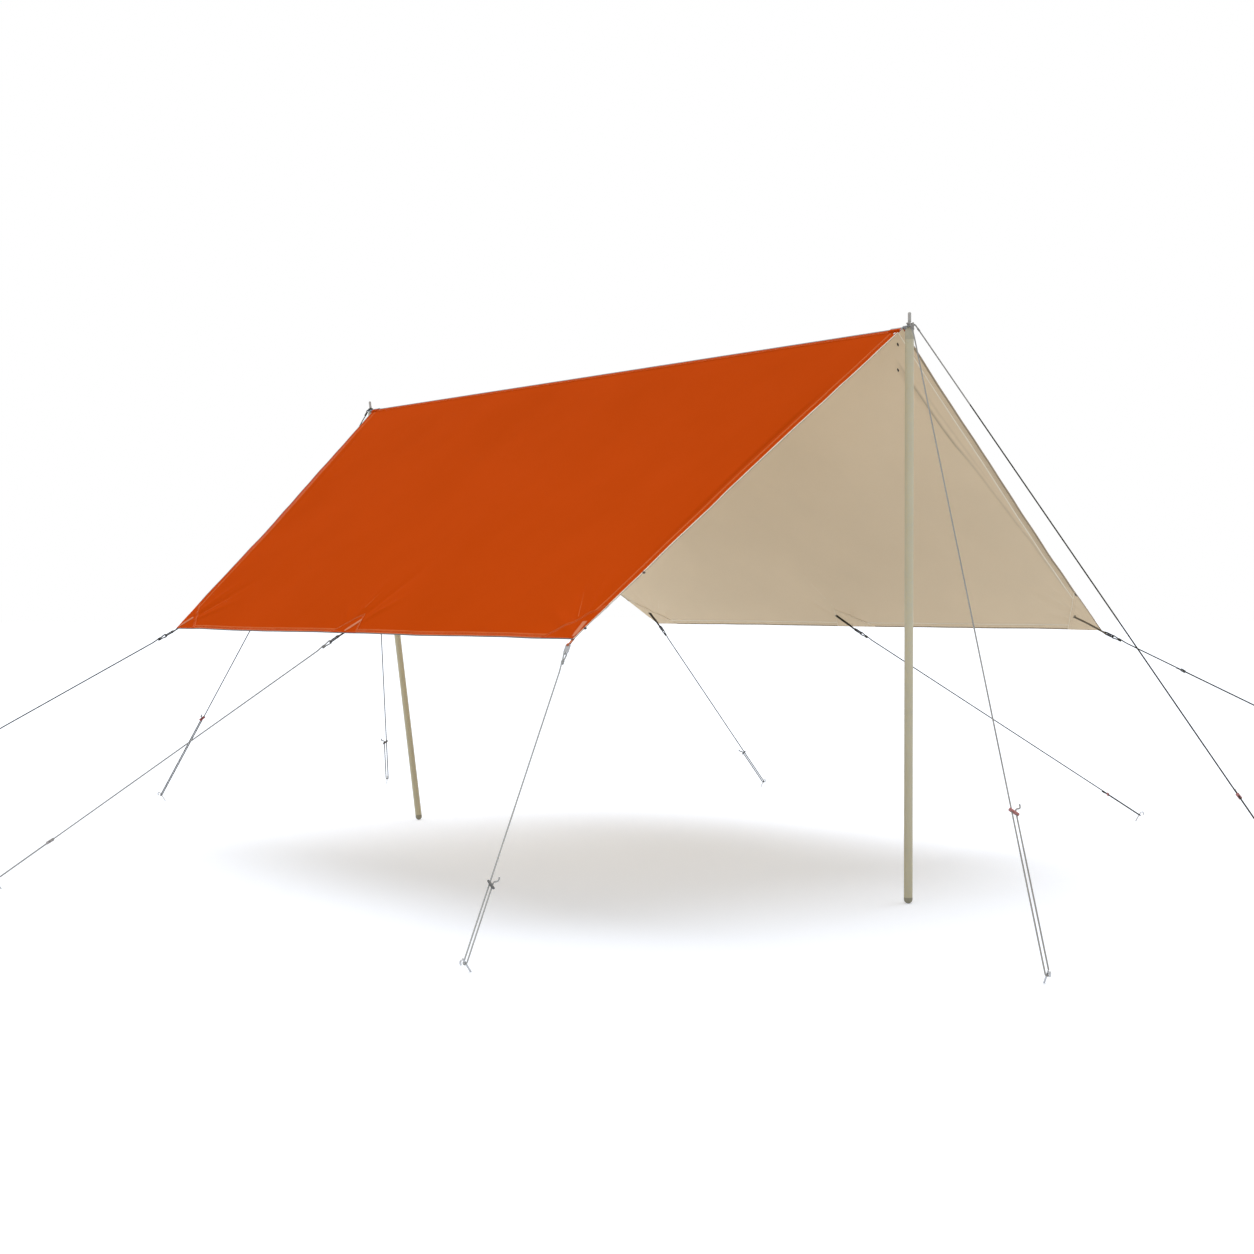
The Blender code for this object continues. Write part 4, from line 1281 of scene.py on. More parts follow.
class Slope:
    """One slope of the roof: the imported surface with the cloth's own folds on it."""

    def __init__(self, side: Side) -> None:
        self.side = side
        sign, angle = side.value, PLAN.slope_angle
        self.down = Vector((sign * math.cos(angle), 0.0, -math.sin(angle)))
        self.normal = Vector((sign * math.sin(angle), 0.0, math.cos(angle)))
        self.top = Vector((sign * PLAN.ridge_edge, 0.0, PLAN.ridge_height))
        self.folds = [
            (*self.tab_place(tension.place), tension) for tension in TENSIONS[side]
        ]

    def tab_place(self, place: float) -> tuple[float, float]:
        """Where a tab is along Y, and how far its middle direction leans along Y."""
        front, back = self.edges(PLAN.slope_length)
        lean = DRAPE.corner_lean * (1 - 2 * place)
        return front + place * (back - front), lean

    @staticmethod
    def edges(down: float) -> tuple[float, float]:
        """Where the front and back edges lie along Y, at a distance down the slope."""
        share = down / PLAN.slope_length
        hollow = PLAN.hollow * 4 * share * (1 - share)
        half = PLAN.ridge_length / 2
        front = -half + (PLAN.eave_front + half) * share + hollow
        back = half + (PLAN.eave_back - half) * share - hollow
        return front, back

    def sag(self, down: float, y: float) -> float:
        """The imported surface's height over the flat slope."""
        front, back = self.edges(down)
        top = PLAN.tape_width + PLAN.tape_margin
        share = (down - top) / (PLAN.slope_length - PLAN.patch_reach - top)
        share = min(max(share, 0.0), 1.0)
        across = (y - front) / (back - front)
        bump = 16 * share ** 2 * (1 - share) ** 2 * math.sin(math.pi * across)
        return bump * (PLAN.wave * math.sin(math.tau * PLAN.waves * across) - PLAN.sag)

    def relief(self, down: float, y: float) -> float:
        """Height of the cloth's creases and small waves."""
        total, nearest = 0.0, math.inf
        up = PLAN.slope_length - down
        for tab_y, lean, tension in self.folds:
            reach = math.hypot(up, y - tab_y)
            nearest = min(nearest, reach)
            if not 1e-6 < reach < DRAPE.crease_reach:
                continue
            angle = math.atan2(y - tab_y, up) - lean
            creases = [(*broad, DRAPE.broad_width) for broad in tension.broad]
            creases += [(*sharp, DRAPE.sharp_height, DRAPE.sharp_width)
                        for sharp in tension.sharp]
            for aim, length, height, width in creases:
                turn = angle - math.radians(aim)
                if abs(turn) > DRAPE.crease_turn:
                    continue
                along, off = reach * math.cos(turn), reach * math.sin(turn)
                fade = smooth(*DRAPE.crease_start, along)
                fade *= 1 - smooth(DRAPE.full_share * length, length, along)
                off /= width * (1 + DRAPE.widening * along)
                total += height * fade * math.exp(-off * off)
        total += self.folded(down, y)[0]
        calm = smooth(*DRAPE.ridge_calm, down) * smooth(*DRAPE.tab_calm, nearest)
        sign = self.side.value
        broad = noise.noise(Vector((y * 2.1, down * 1.5, 3.7 * sign)))
        fine = noise.noise(Vector((y * 6.5, down * 3.2, 9.1 * sign)))
        front, back = self.edges(down)
        loose = 1 - smooth(0.0, DRAPE.loose_edge, min(y - front, back - y))
        flutter = noise.noise(Vector((down * 9.0, y, 4.3 * sign))) * loose
        waves = DRAPE.broad_wave * broad + DRAPE.fine_wave * fine + DRAPE.flutter * flutter
        return total + calm * waves

    def folded(self, down: float, y: float) -> tuple[float, float]:
        """How high the long folds stand at a place, and how much painted shade they lay there, a
        painted highlight where it is below 0.
        """
        height = tone = 0.0
        front, back = self.edges(down)
        for fold in FOLDS[self.side]:
            inset = back - y if fold.back else y - front
            for (low, a, first), (high, b, last) in zip(fold.points, fold.points[1:]):
                if low <= down < high:
                    share = (down - low) / (high - low)
                    off = (inset - a - (b - a) * share) / fold.width
                    strength = (first + (last - first) * share) * math.exp(-off * off)
                    height += fold.height * strength
                    tone += fold.tone * strength
        return height, tone

    def crease_lines(self, lift: float) -> list[Path]:
        """The sharp creases' ridges, at a height over the outer surface."""
        lines = []
        for tab_y, lean, tension in self.folds:
            for aim, length in tension.sharp:
                angle = lean + math.radians(aim)
                lines.append([
                    self.point(PLAN.slope_length - reach * math.cos(angle),
                               tab_y + reach * math.sin(angle), lift)
                    for reach in evenly(DRAPE.line_start, length, DRAPE.line_steps)
                ])
        return lines

    def point(self, down: float, y: float, lift: float = 0.0) -> Vector:
        """A point over the cloth's outer surface.

        Args:
            down: Distance down the slope.
            y: Place along the ridge.
            lift: Height over the surface.

        Returns:
            The point.
        """
        height = self.sag(down, y) + self.relief(down, y) + lift
        return self.top + ALONG * y + self.down * down + self.normal * height

    def below(self, place: Vector) -> float:
        """How far down the slope a place is."""
        return (place - self.top).dot(self.down)

    def over(self, flat: Vector, lift: float) -> Vector:
        """The same for a point of the flat slope."""
        return self.point(self.below(flat), flat.y, lift)


@dataclass(frozen=True)
class Sewing:
    """A row of stitches."""

    pitch: float = 0.0090
    length: float = 0.0064
    width: float = 0.0010
    height: float = 0.00035

    def sew(self, skin: Skin, line: Sequence[Vector], out: Vector) -> None:
        """Sew along a line.

        Args:
            skin: What collects the stitches.
            line: Points of the line, on the surface.
            out: Where the surface faces.
        """
        wait = self.pitch / 2
        for a, b in zip(line, line[1:]):
            step = b - a
            length = step.length
            if length < 1e-9:
                continue
            ahead = step / length
            across = out.cross(ahead).normalized()
            while wait < length:
                skin.block(a + ahead * wait, ahead, across, ahead.cross(across),
                           (self.length, self.width, self.height))
                wait += self.pitch
            wait -= length


# Sections of what is sewn on, as insets from an edge and heights over the outer surface
WELT = ((-0.0032, -0.0004), (-0.0018, 0.0005), (-0.0002, 0.0009), (0.0014, 0.0005),
        (0.0028, -0.0004))
EAVE_RIM = ((0.0026, -0.0004), (0.0030, 0.0006), (0.0046, 0.0008), (0.0062, 0.0005),
            (0.0068, -0.0004))
CREASE = ((0.0011, -0.0003), (0.0005, 0.0003), (-0.0005, 0.0003), (-0.0011, -0.0003))
BINDING_TURN = ((0.0006, 0.0009), (-0.0007, 0.0004), (-0.0012, -0.0006), (-0.0012, -0.0020),
                (0.0006, -0.0029))
TAPE_CLEAR = 0.027


HEM_ROW = Sewing()
TAPE_ROW = Sewing(0.0075, 0.0052)
TONGUE_ROW = Sewing(0.0042, 0.0030, 0.0007, 0.0002)
PATCH_ROW = Sewing(0.0065, 0.0046, 0.0009, 0.0003)
BAR_TACK = Sewing(0.0017, 0.0021, 0.0006, 0.0002)
BOX_ROW = Sewing(0.0028, 0.0022, 0.0006, 0.0002)


@dataclass
class Panel:
    """One cloth panel with its hem, its raised seam lines, its bindings and its stitching."""

    side: Side
    gable_hem: float
    eave_hem: float
    binding: str
    coarse_row: float = 0.018
    fine_row: float = 0.007
    fine_above_eave: float = 0.34
    edge_band: float = 0.118
    edge_column: float = 0.0038
    inner_shares: tuple[float, float] = (0.044, 0.956)
    coarse_share: float = 0.0064
    fine_share: float = 0.0026
    gable_steps: int = 130
    eave_steps: int = 200
    slope: Slope = field(init=False)

    def __post_init__(self) -> None:
        self.slope = Slope(self.side)

    @property
    def name(self) -> str:
        """The panel's name in its pieces."""
        return f"{self.side.label}_panel"

    def hem(self, which: int) -> float:
        """Width of the hem along the front gable, the back gable or the eave."""
        return self.eave_hem if which == 2 else self.gable_hem

    def heights(self) -> list[float]:
        """Distances down the slope of the rows, closer together towards the eave."""
        end, hem = PLAN.slope_length, self.eave_hem
        rows = [0.0, 0.010, 0.020, 0.030]
        while rows[-1] < end - hem - 0.012:
            far = rows[-1] < end - self.fine_above_eave
            rows.append(rows[-1] + (self.coarse_row if far else self.fine_row))
        rows = [row for row in rows if row < end - hem - 0.006]
        return rows + [end - hem - 0.004, end - hem, end - hem + 0.004, end - hem / 2, end]

    def offsets(self) -> list[tuple[float, float]]:
        """The columns, each as a share of the width and a distance from there."""
        hem = self.gable_hem
        edge = [0.0, hem / 4, hem / 2, hem * 0.7, hem - 0.004, hem, hem + 0.004]
        while edge[-1] < self.edge_band:
            edge.append(edge[-1] + self.edge_column)
        inside, (share, last) = [], self.inner_shares
        while share < last:
            inside.append((share, 0.0))
            near_tab = min(share, abs(share - 0.5), 1 - share) < 0.08
            share += self.fine_share if near_tab else self.coarse_share
        return [(0.0, o) for o in edge] + inside + [(1.0, -o) for o in reversed(edge)]

    def build(self, wardrobe: Wardrobe) -> None:
        """Make the panel and what is sewn on it."""
        slot = self.side.slot
        cloth = wardrobe.fit(self.make_cloth(), "orange_cloth", "cream_cloth", slot=slot,
                             nodes=[self.name])
        sewn = [wardrobe.fit(self.make_welts(face), f"{face.value}_seam", slot=slot)
                for face in Face]
        # The lower turns of the bindings are darker as painted shade under the edge.
        lower = "slate_binding" if self.side is Side.LEFT else "brown_binding"
        sewn.append(wardrobe.fit(self.make_bindings(), self.binding, lower, slot=slot))
        sewn += [wardrobe.fit(self.make_stitches(face), f"{face.value}_thread", slot=slot)
                 for face in Face]
        if self.side is Side.LEFT:
            sewn.append(wardrobe.fit(self.make_toggles(), "slider_brown", slot=slot))
        front, back = self.slope.edges(PLAN.slope_length)

    def make_cloth(self) -> Item:
        """The cloth itself, orange outside and cream inside."""
        heights, offsets = self.heights(), self.offsets()

        def spot(column: int, row: int) -> tuple[float, float]:
            down = heights[row]
            front, back = self.slope.edges(down)
            share, offset = offsets[column]
            return down, front + share * (back - front) + offset

        def place(column: int, row: int) -> Vector:
            return self.slope.point(*spot(column, row))

        def pattern(column: int, row: int) -> tuple[float, float]:
            down, y = spot(column, row)
            return y, down

        # The long folds' painted shade and highlight at each corner, for the cloth's finish.
        def tone(column: int, row: int) -> float:
            return self.slope.folded(*spot(column, row))[1]

        cloth = laid_grid(f"{self.name}_cloth", len(offsets), len(heights), place, pattern,
                          self.slope.normal, tone)
        outside = len(cloth.data.vertices)
        thicken(cloth, PLAN.cloth, -1.0)
        for vertex in cloth.data.vertices[outside:]:
            down = self.slope.below(vertex.co)
            front, back = self.slope.edges(down)
            past = min(vertex.co.y - front, back - vertex.co.y) - self.gable_hem
            if min(past, PLAN.slope_length - down - self.eave_hem) < -PLAN.hem:
                vertex.co -= self.slope.normal * (PLAN.hem - PLAN.cloth)
        for face in cloth.data.polygons:
            face.material_index = int(face.normal.dot(self.slope.normal) < -0.5)
        shade(cloth, 50.0)
        return cloth

    def rail(self, which: int, inset: float, lift: float, trim: float = 0.0) -> Path:
        """A line along one edge.

        Args:
            which: 0 for the front gable, 1 for the back gable, 2 for the eave.
            inset: Distance in from the edge.
            lift: Height over the outer surface.
            trim: Where the line starts: down the slope, or further in on the eave.

        Returns:
            Its points.
        """
        end = PLAN.slope_length - max(inset, 0.0)
        if which == 2:
            low, high = self.slope.edges(end)
            low, high = low + inset + trim, high - inset - trim
            return [self.slope.point(PLAN.slope_length - inset, y, lift)
                    for y in evenly(low, high, self.eave_steps)]
        way = 1 - 2 * which
        return [self.slope.point(down, self.slope.edges(down)[which] + way * inset, lift)
                for down in evenly(trim, end, self.gable_steps)]

    def strip(self, skin: Skin, which: int, section: Outline,
              trim: float = 0.0) -> None:
        """Sweep a section of insets and lifts along one edge."""
        lines = [self.rail(which, inset, lift, trim) for inset, lift in section]
        rings = list(zip(*lines))
        rim = distances([*rings[0], rings[0][0]])
        skin.join(rings, rim, distances(lines[0]), [(place, 0.0) for place in rim[:-1]])

    def make_welts(self, face: Face) -> Item:
        """The welts at the hem's inner fold, and the ridges of the sharp creases. Their paler finish
        is a painted highlight on these ridges, and on the orange face also worn cloth.
        """
        skin = Skin()
        outer = face is Face.OUTER
        for which in range(3):
            hem = self.hem(which)
            shape = [(hem + x, y if outer else -0.0019 - y) for x, y in WELT]
            self.strip(skin, which, shape, TAPE_CLEAR if outer else 0.004)
        if outer:
            self.strip(skin, 2, EAVE_RIM)
        out = self.slope.normal * face.pick(1.0, -1.0)
        for line in self.slope.crease_lines(face.pick(0.0, -PLAN.cloth)):
            frames = [(side, out) for side, _ in carried(line, ALONG)]
            skin.tube(line, CREASE, frames, evenly(1.0, 0.25, len(line) - 1))
        return skin.make(f"{self.name}_{face.label}_welts", SOFT)

    def make_bindings(self) -> Item:
        """The bound edges; their lower turns take the second finish, darker as painted shade under
        the edge.
        """
        skin = Skin()
        lower = []
        for which in range(3):
            wide = which == 2 or self.side is Side.RIGHT
            over, under = (0.0024, 0.0070) if wide else (0.0044, 0.0044)
            section = ((over, -0.0002), (over - 0.0004, 0.0006), *BINDING_TURN,
                       (under - 0.0004, -0.0027), (under, -0.0018))
            self.strip(skin, which, section, TAPE_CLEAR if which < 2 else 0.0)
            first = 4 if which == 0 else 0
            lower += [first <= (i % 9) < 8 for i in range(len(skin.faces) - len(lower))]
        item = skin.make(f"{self.name}_bindings", SOFT)
        for face, low in zip(item.data.polygons, lower):
            face.material_index = int(low)
        return item

    def make_toggles(self) -> Item:
        """Two small dark toggles on the front gable's edge."""
        skin = Skin()
        radius, length = 0.0042, 0.011
        for down in (1.4474, 1.7435):
            edge = self.slope.point(down, self.slope.edges(down)[0] + 0.002, -0.001)
            path, sizes = round_end(spaced(edge, edge - ALONG * length, 0.002), radius)
            skin.tube(path, circle(radius, 12), scales=sizes)
        return skin.make(f"{self.name}_toggles", SOFT)

    def make_stitches(self, face: Face) -> Item:
        """Two rows of stitches along each hem, on one face."""
        skin = Skin()
        out = self.slope.normal * face.pick(1.0, -1.0)
        lift = face.pick(PLAN.hair, -PLAN.hem - 2 * PLAN.hair)
        for which in range(3):
            for inset in (self.hem(which) - 0.0065, 0.0080):
                HEM_ROW.sew(skin, self.rail(which, inset, lift, 0.030), out)
        return skin.make(f"{self.name}_{face.label}_stitches", CRISP)


@dataclass(frozen=True)
class Ridge:
    """The tape over the ridge seam, with its stitches, and the small things near the tip."""

    steps: int = 150
    crest_share: float = 0.24
    thin_from: float = 0.72

    @staticmethod
    def roof(x: float, lift: float) -> float:
        """Height of a roof a distance above the cloth at the ridge."""
        fall = max(abs(x) - PLAN.ridge_edge, 0.0) * math.tan(PLAN.slope_angle)
        return PLAN.ridge_height + lift / math.cos(PLAN.slope_angle) - fall

    def build(self, wardrobe: Wardrobe) -> None:
        """Make them."""
        tape = wardrobe.fit(self.make_tape(), "ridge_tape", "orange_cloth", slot="grey_tape",
                            nodes=["ridge_tape"])
        rows = wardrobe.fit(self.make_stitches(), "orange_thread", slot="grey_tape")
        wardrobe.fit(self.make_slits(), "slot_shadow", slot="cream_cloth")
        wardrobe.fit(self.make_button(), "white_plastic", slot="orange_cloth")

    def make_tape(self) -> Item:
        """The folded tape."""
        slant = math.cos(PLAN.slope_angle)
        edge = PLAN.ridge_edge
        shares = (0.0, 0.10, 0.22, 0.26, 0.45, 0.72, 0.94, 1.0)
        half = [edge + PLAN.tape_width * slant * s for s in shares]
        across = [-x for x in reversed(half)] + half

        def place(column: int, row: int) -> Vector:
            x = across[column]
            y = PLAN.ridge_length * (row / self.steps - 0.5)
            if column in (0, len(across) - 1):
                x += 0.0007 * noise.noise(Vector((y * 7.0, x * 400.0, 1.3)))
                return Vector((x, y, self.roof(x, -0.0003)))
            ripple = 0.00015 * noise.noise(Vector((y * 16.0, x * 60.0, 5.1)))
            return Vector((x, y, self.roof(x, PLAN.gap) + abs(ripple)))

        def pattern(column: int, row: int) -> tuple[float, float]:
            return across[column] / slant, PLAN.ridge_length * row / self.steps

        tape = laid_grid("ridge_tape_band", len(across), self.steps + 1, place, pattern, UP)
        thicken(tape, PLAN.tape - PLAN.hair, 1.0)
        for vertex in tape.data.vertices:
            rim = smooth(self.thin_from, 1.0,
                         (abs(vertex.co.x) - edge) / (PLAN.tape_width * slant))
            low = self.roof(vertex.co.x, PLAN.gap)
            vertex.co.z = min(vertex.co.z, low + (vertex.co.z - low) * (1 - 0.75 * rim))
        crest = edge + PLAN.tape_width * slant * self.crest_share
        for face in tape.data.polygons:
            face.material_index = int(abs(face.center.x) > crest)
        shade(tape, 35.0)
        return tape

    def make_stitches(self) -> Item:
        """Two rows on each side of the fold."""
        skin = Skin()
        slant = math.cos(PLAN.slope_angle)
        for side in Side:
            out = Slope(side).normal
            for inset in (0.0060, 0.0170):
                x = side.value * (PLAN.ridge_edge + (PLAN.tape_width - inset) * slant)
                height = self.roof(x, PLAN.gap + PLAN.tape + 0.0002)
                half = PLAN.ridge_length / 2 - 0.004
                line = spaced(Vector((x, -half, height)), Vector((x, half, height)), 0.05)
                TAPE_ROW.sew(skin, line, out)
        return skin.make("ridge_tape_stitches", CRISP)

    @staticmethod
    def make_slits() -> Item:
        """Two bound slits in the cream face near the front end of the ridge."""
        slope, skin = Slope(Side.RIGHT), Skin()
        turn, long, wide = 0.42, 0.0085, 0.0026
        along = (slope.down * math.cos(turn) + ALONG * math.sin(turn)).normalized()
        across = slope.normal.cross(along)
        for down, y in ((0.0710, -1.7510), (0.1952, -1.6660)):
            middle = slope.point(down, y, -PLAN.cloth - 0.0010)
            rim = [middle + along * long * math.cos(a) + across * wide * math.sin(a)
                   for a in evenly(0.0, math.tau, 20)]
            skin.tube(rim, circle(PLAN.slit_rim, 6))
            skin.block(slope.point(down, y, -PLAN.cloth - 0.0009), along, across, -slope.normal,
                       (0.0155, 0.0044, 0.0004))
        return skin.make("ridge_slits", SOFT)

    @staticmethod
    def make_button() -> Item:
        """A small white snap on the orange face at the front tip."""
        slope = Slope(Side.LEFT)
        rings = [(0.0042, 0.0), (0.0048, 0.0003), (0.0048, 0.0010), (0.0043, 0.0014),
                 (0.0032, 0.0016), (0.0026, 0.0023), (0.0016, 0.0027), (0.0005, 0.0028)]
        item = turned("ridge_snap", rings, 28)
        down = 0.0325
        place = slope.point(down, slope.edges(down)[0] + 0.013, 0.0002)
        sideways = slope.normal.cross(slope.down)
        return put(item, frame_matrix(place, slope.down, sideways, slope.normal))


# Ridge ends and poles

class RidgeEnd:
    """The frame of one ridge end: its bend, its eyelet and the joint of its pole."""

    def __init__(self, side: int, lean: float) -> None:
        self.side = side
        self.out = Vector((0.0, side * math.cos(lean), -math.sin(lean)))
        self.up = Vector((0.0, side * math.sin(lean), math.cos(lean)))
        self.lean = lean
        tip = side * (PLAN.ridge_length / 2 + PLAN.tip_to_bend)
        lift = PLAN.gap + PLAN.tape + PLAN.gap
        self.bend = Vector((0.0, tip, Ridge.roof(0.0, lift)))
        middle = self.up * (PLAN.tongue / 2)
        self.eyelet = self.bend + self.out * PLAN.bend_to_eyelet + middle
        self.joint = self.eyelet - self.up * self.seat()

    @staticmethod
    def seat() -> float:
        """How far the dome's centre lies below the middle of the eyelet."""
        edges = (
            (PLAN.eyelet_bore, PLAN.eyelet_half - PLAN.eyelet_chamfer),
            (PLAN.eyelet_bore + PLAN.eyelet_chamfer, PLAN.eyelet_half),
        )
        reach = PLAN.dome + PLAN.gap
        return max(math.sqrt(reach ** 2 - radius ** 2) + drop for radius, drop in edges)

    def matrix(self, origin: Vector) -> Matrix:
        """Local axes at a point: Z along the pole and Y out from the tarp."""
        return frame_matrix(origin, self.out.cross(self.up), self.out, self.up)


@dataclass
class RidgeTongue:
    """The stiff tongue at one end of the ridge, with its eyelet and its stitching."""

    label: str
    end: RidgeEnd
    finish: str
    rows: int = 34
    tip_rows: int = 22
    columns: int = 17
    orange_from: float = 0.0075

    def build(self, wardrobe: Wardrobe) -> None:
        """Make them."""
        tongue = wardrobe.fit(self.make_tongue(), self.finish, "orange_cloth",
                              slot="grey_tongue", nodes=[f"{self.label}_ridge_tab"])
        rows = wardrobe.fit(self.make_stitches(), "dark_thread", slot="grey_tongue")
        f"{self.label}_pole_cap_piece"
        wardrobe.fit(self.make_eyelet(), "eyelet_metal", slot="pale_eyelet",
                     nodes=[f"{self.label}_eyelet"])

    def point(self, x: float, distance: float, lift: float = 0.0) -> Vector:
        """A point of the tongue's lower face, at a distance out from the bend."""
        end = self.end
        fold = smooth(0.0, 1.0, 1 - distance / PLAN.bend_to_flat)
        fall = max(abs(x) - PLAN.ridge_edge, 0.0) * math.tan(PLAN.slope_angle) * fold
        if distance <= 0:
            return end.bend + Vector((x, end.side * distance, -fall)) + UP * lift
        return end.bend + end.out * distance + Vector((x, 0.0, 0.0)) + end.up * (lift - fall)

    def stations(self) -> list[float]:
        """Distances of the rows, closer together round the tip."""
        start, flat = -PLAN.tongue_overlap, PLAN.bend_to_eyelet
        straight = evenly(start, flat, self.rows)[:-1]
        return straight + [flat + PLAN.tongue_half * math.sin(a)
                           for a in evenly(0.0, math.pi / 2, self.tip_rows)]

    def half_width(self, distance: float) -> float:
        """Half the tongue's width at a distance."""
        past = max(distance - PLAN.bend_to_eyelet, 0.0)
        return math.sqrt(max(PLAN.tongue_half ** 2 - past ** 2, 4e-7))

    def make_tongue(self) -> Item:
        """The tongue, with the hole for its eyelet."""
        stations = self.stations()
        middle = (self.columns - 1) / 2

        def place(column: int, row: int) -> Vector:
            distance = stations[row]
            return self.point(self.half_width(distance) * (column - middle) / middle, distance)

        def pattern(column: int, row: int) -> tuple[float, float]:
            return self.half_width(stations[row]) * (column - middle) / middle, stations[row]

        tongue = laid_grid(f"{self.label}_tongue", self.columns, len(stations), place, pattern,
                           self.end.up)
        thicken(tongue, PLAN.tongue, 1.0)
        deselect()
        bpy.ops.mesh.primitive_cylinder_add(
            vertices=40, radius=PLAN.eyelet_bore + PLAN.eyelet_wall + PLAN.gap, depth=0.03)
        punch = put(just_made("tongue_punch"), self.end.matrix(self.end.eyelet))
        cut_with(tongue, punch)
        soften(tongue, 0.0005, 2, 55.0)
        for face in tongue.data.polygons:
            over_cloth = abs(face.center.y) < PLAN.ridge_length / 2
            face.material_index = int(over_cloth and abs(face.center.x) > self.orange_from)
        shade(tongue, 40.0)
        return tongue

    def make_stitches(self) -> Item:
        """A row round the tongue's edge, a ring round the eyelet and rows across its root."""
        skin = Skin()
        lift, inset = PLAN.tongue, 0.0028
        sides = [s for s in self.stations() if s < PLAN.bend_to_eyelet]
        wide = PLAN.tongue_half - inset
        left = [self.point(-wide, s, lift) for s in sides]
        right = [self.point(wide, s, lift) for s in reversed(sides)]
        tip = [self.point(-wide * math.cos(a), PLAN.bend_to_eyelet + wide * math.sin(a), lift)
               for a in evenly(0.0, math.pi, 24)]
        TONGUE_ROW.sew(skin, left + tip + right, self.end.up)
        for distance in (-PLAN.tongue_overlap + 0.004, -PLAN.tongue_overlap + 0.008, -0.012):
            line = [self.point(x, distance, lift) for x in evenly(-wide, wide, 24)]
            TONGUE_ROW.sew(skin, line, UP)
        return skin.make(f"{self.label}_tongue_stitches", CRISP)

    def make_eyelet(self) -> Item:
        """The pressed ring, with its flanges rolled over."""
        bore, half = PLAN.eyelet_bore, PLAN.eyelet_half
        flange = PLAN.tongue / 2 + PLAN.gap / 2
        wide, barrel = PLAN.eyelet_flange, PLAN.eyelet_bore + PLAN.eyelet_wall
        top = [(bore, half - 0.0008), (bore + 0.0003, half - 0.0002), (bore + 0.0010, half),
               (wide - 0.0016, half), (wide - 0.0005, half - 0.00015), (wide, half - 0.0005),
               (wide - 0.0002, flange), (barrel, flange)]
        rings = top + [(r, -z) for r, z in reversed(top)] + [top[0]]
        ring = turned(f"{self.label}_eyelet_ring", rings, 56, hollow=True)
        return put(ring, self.end.matrix(self.end.eyelet))


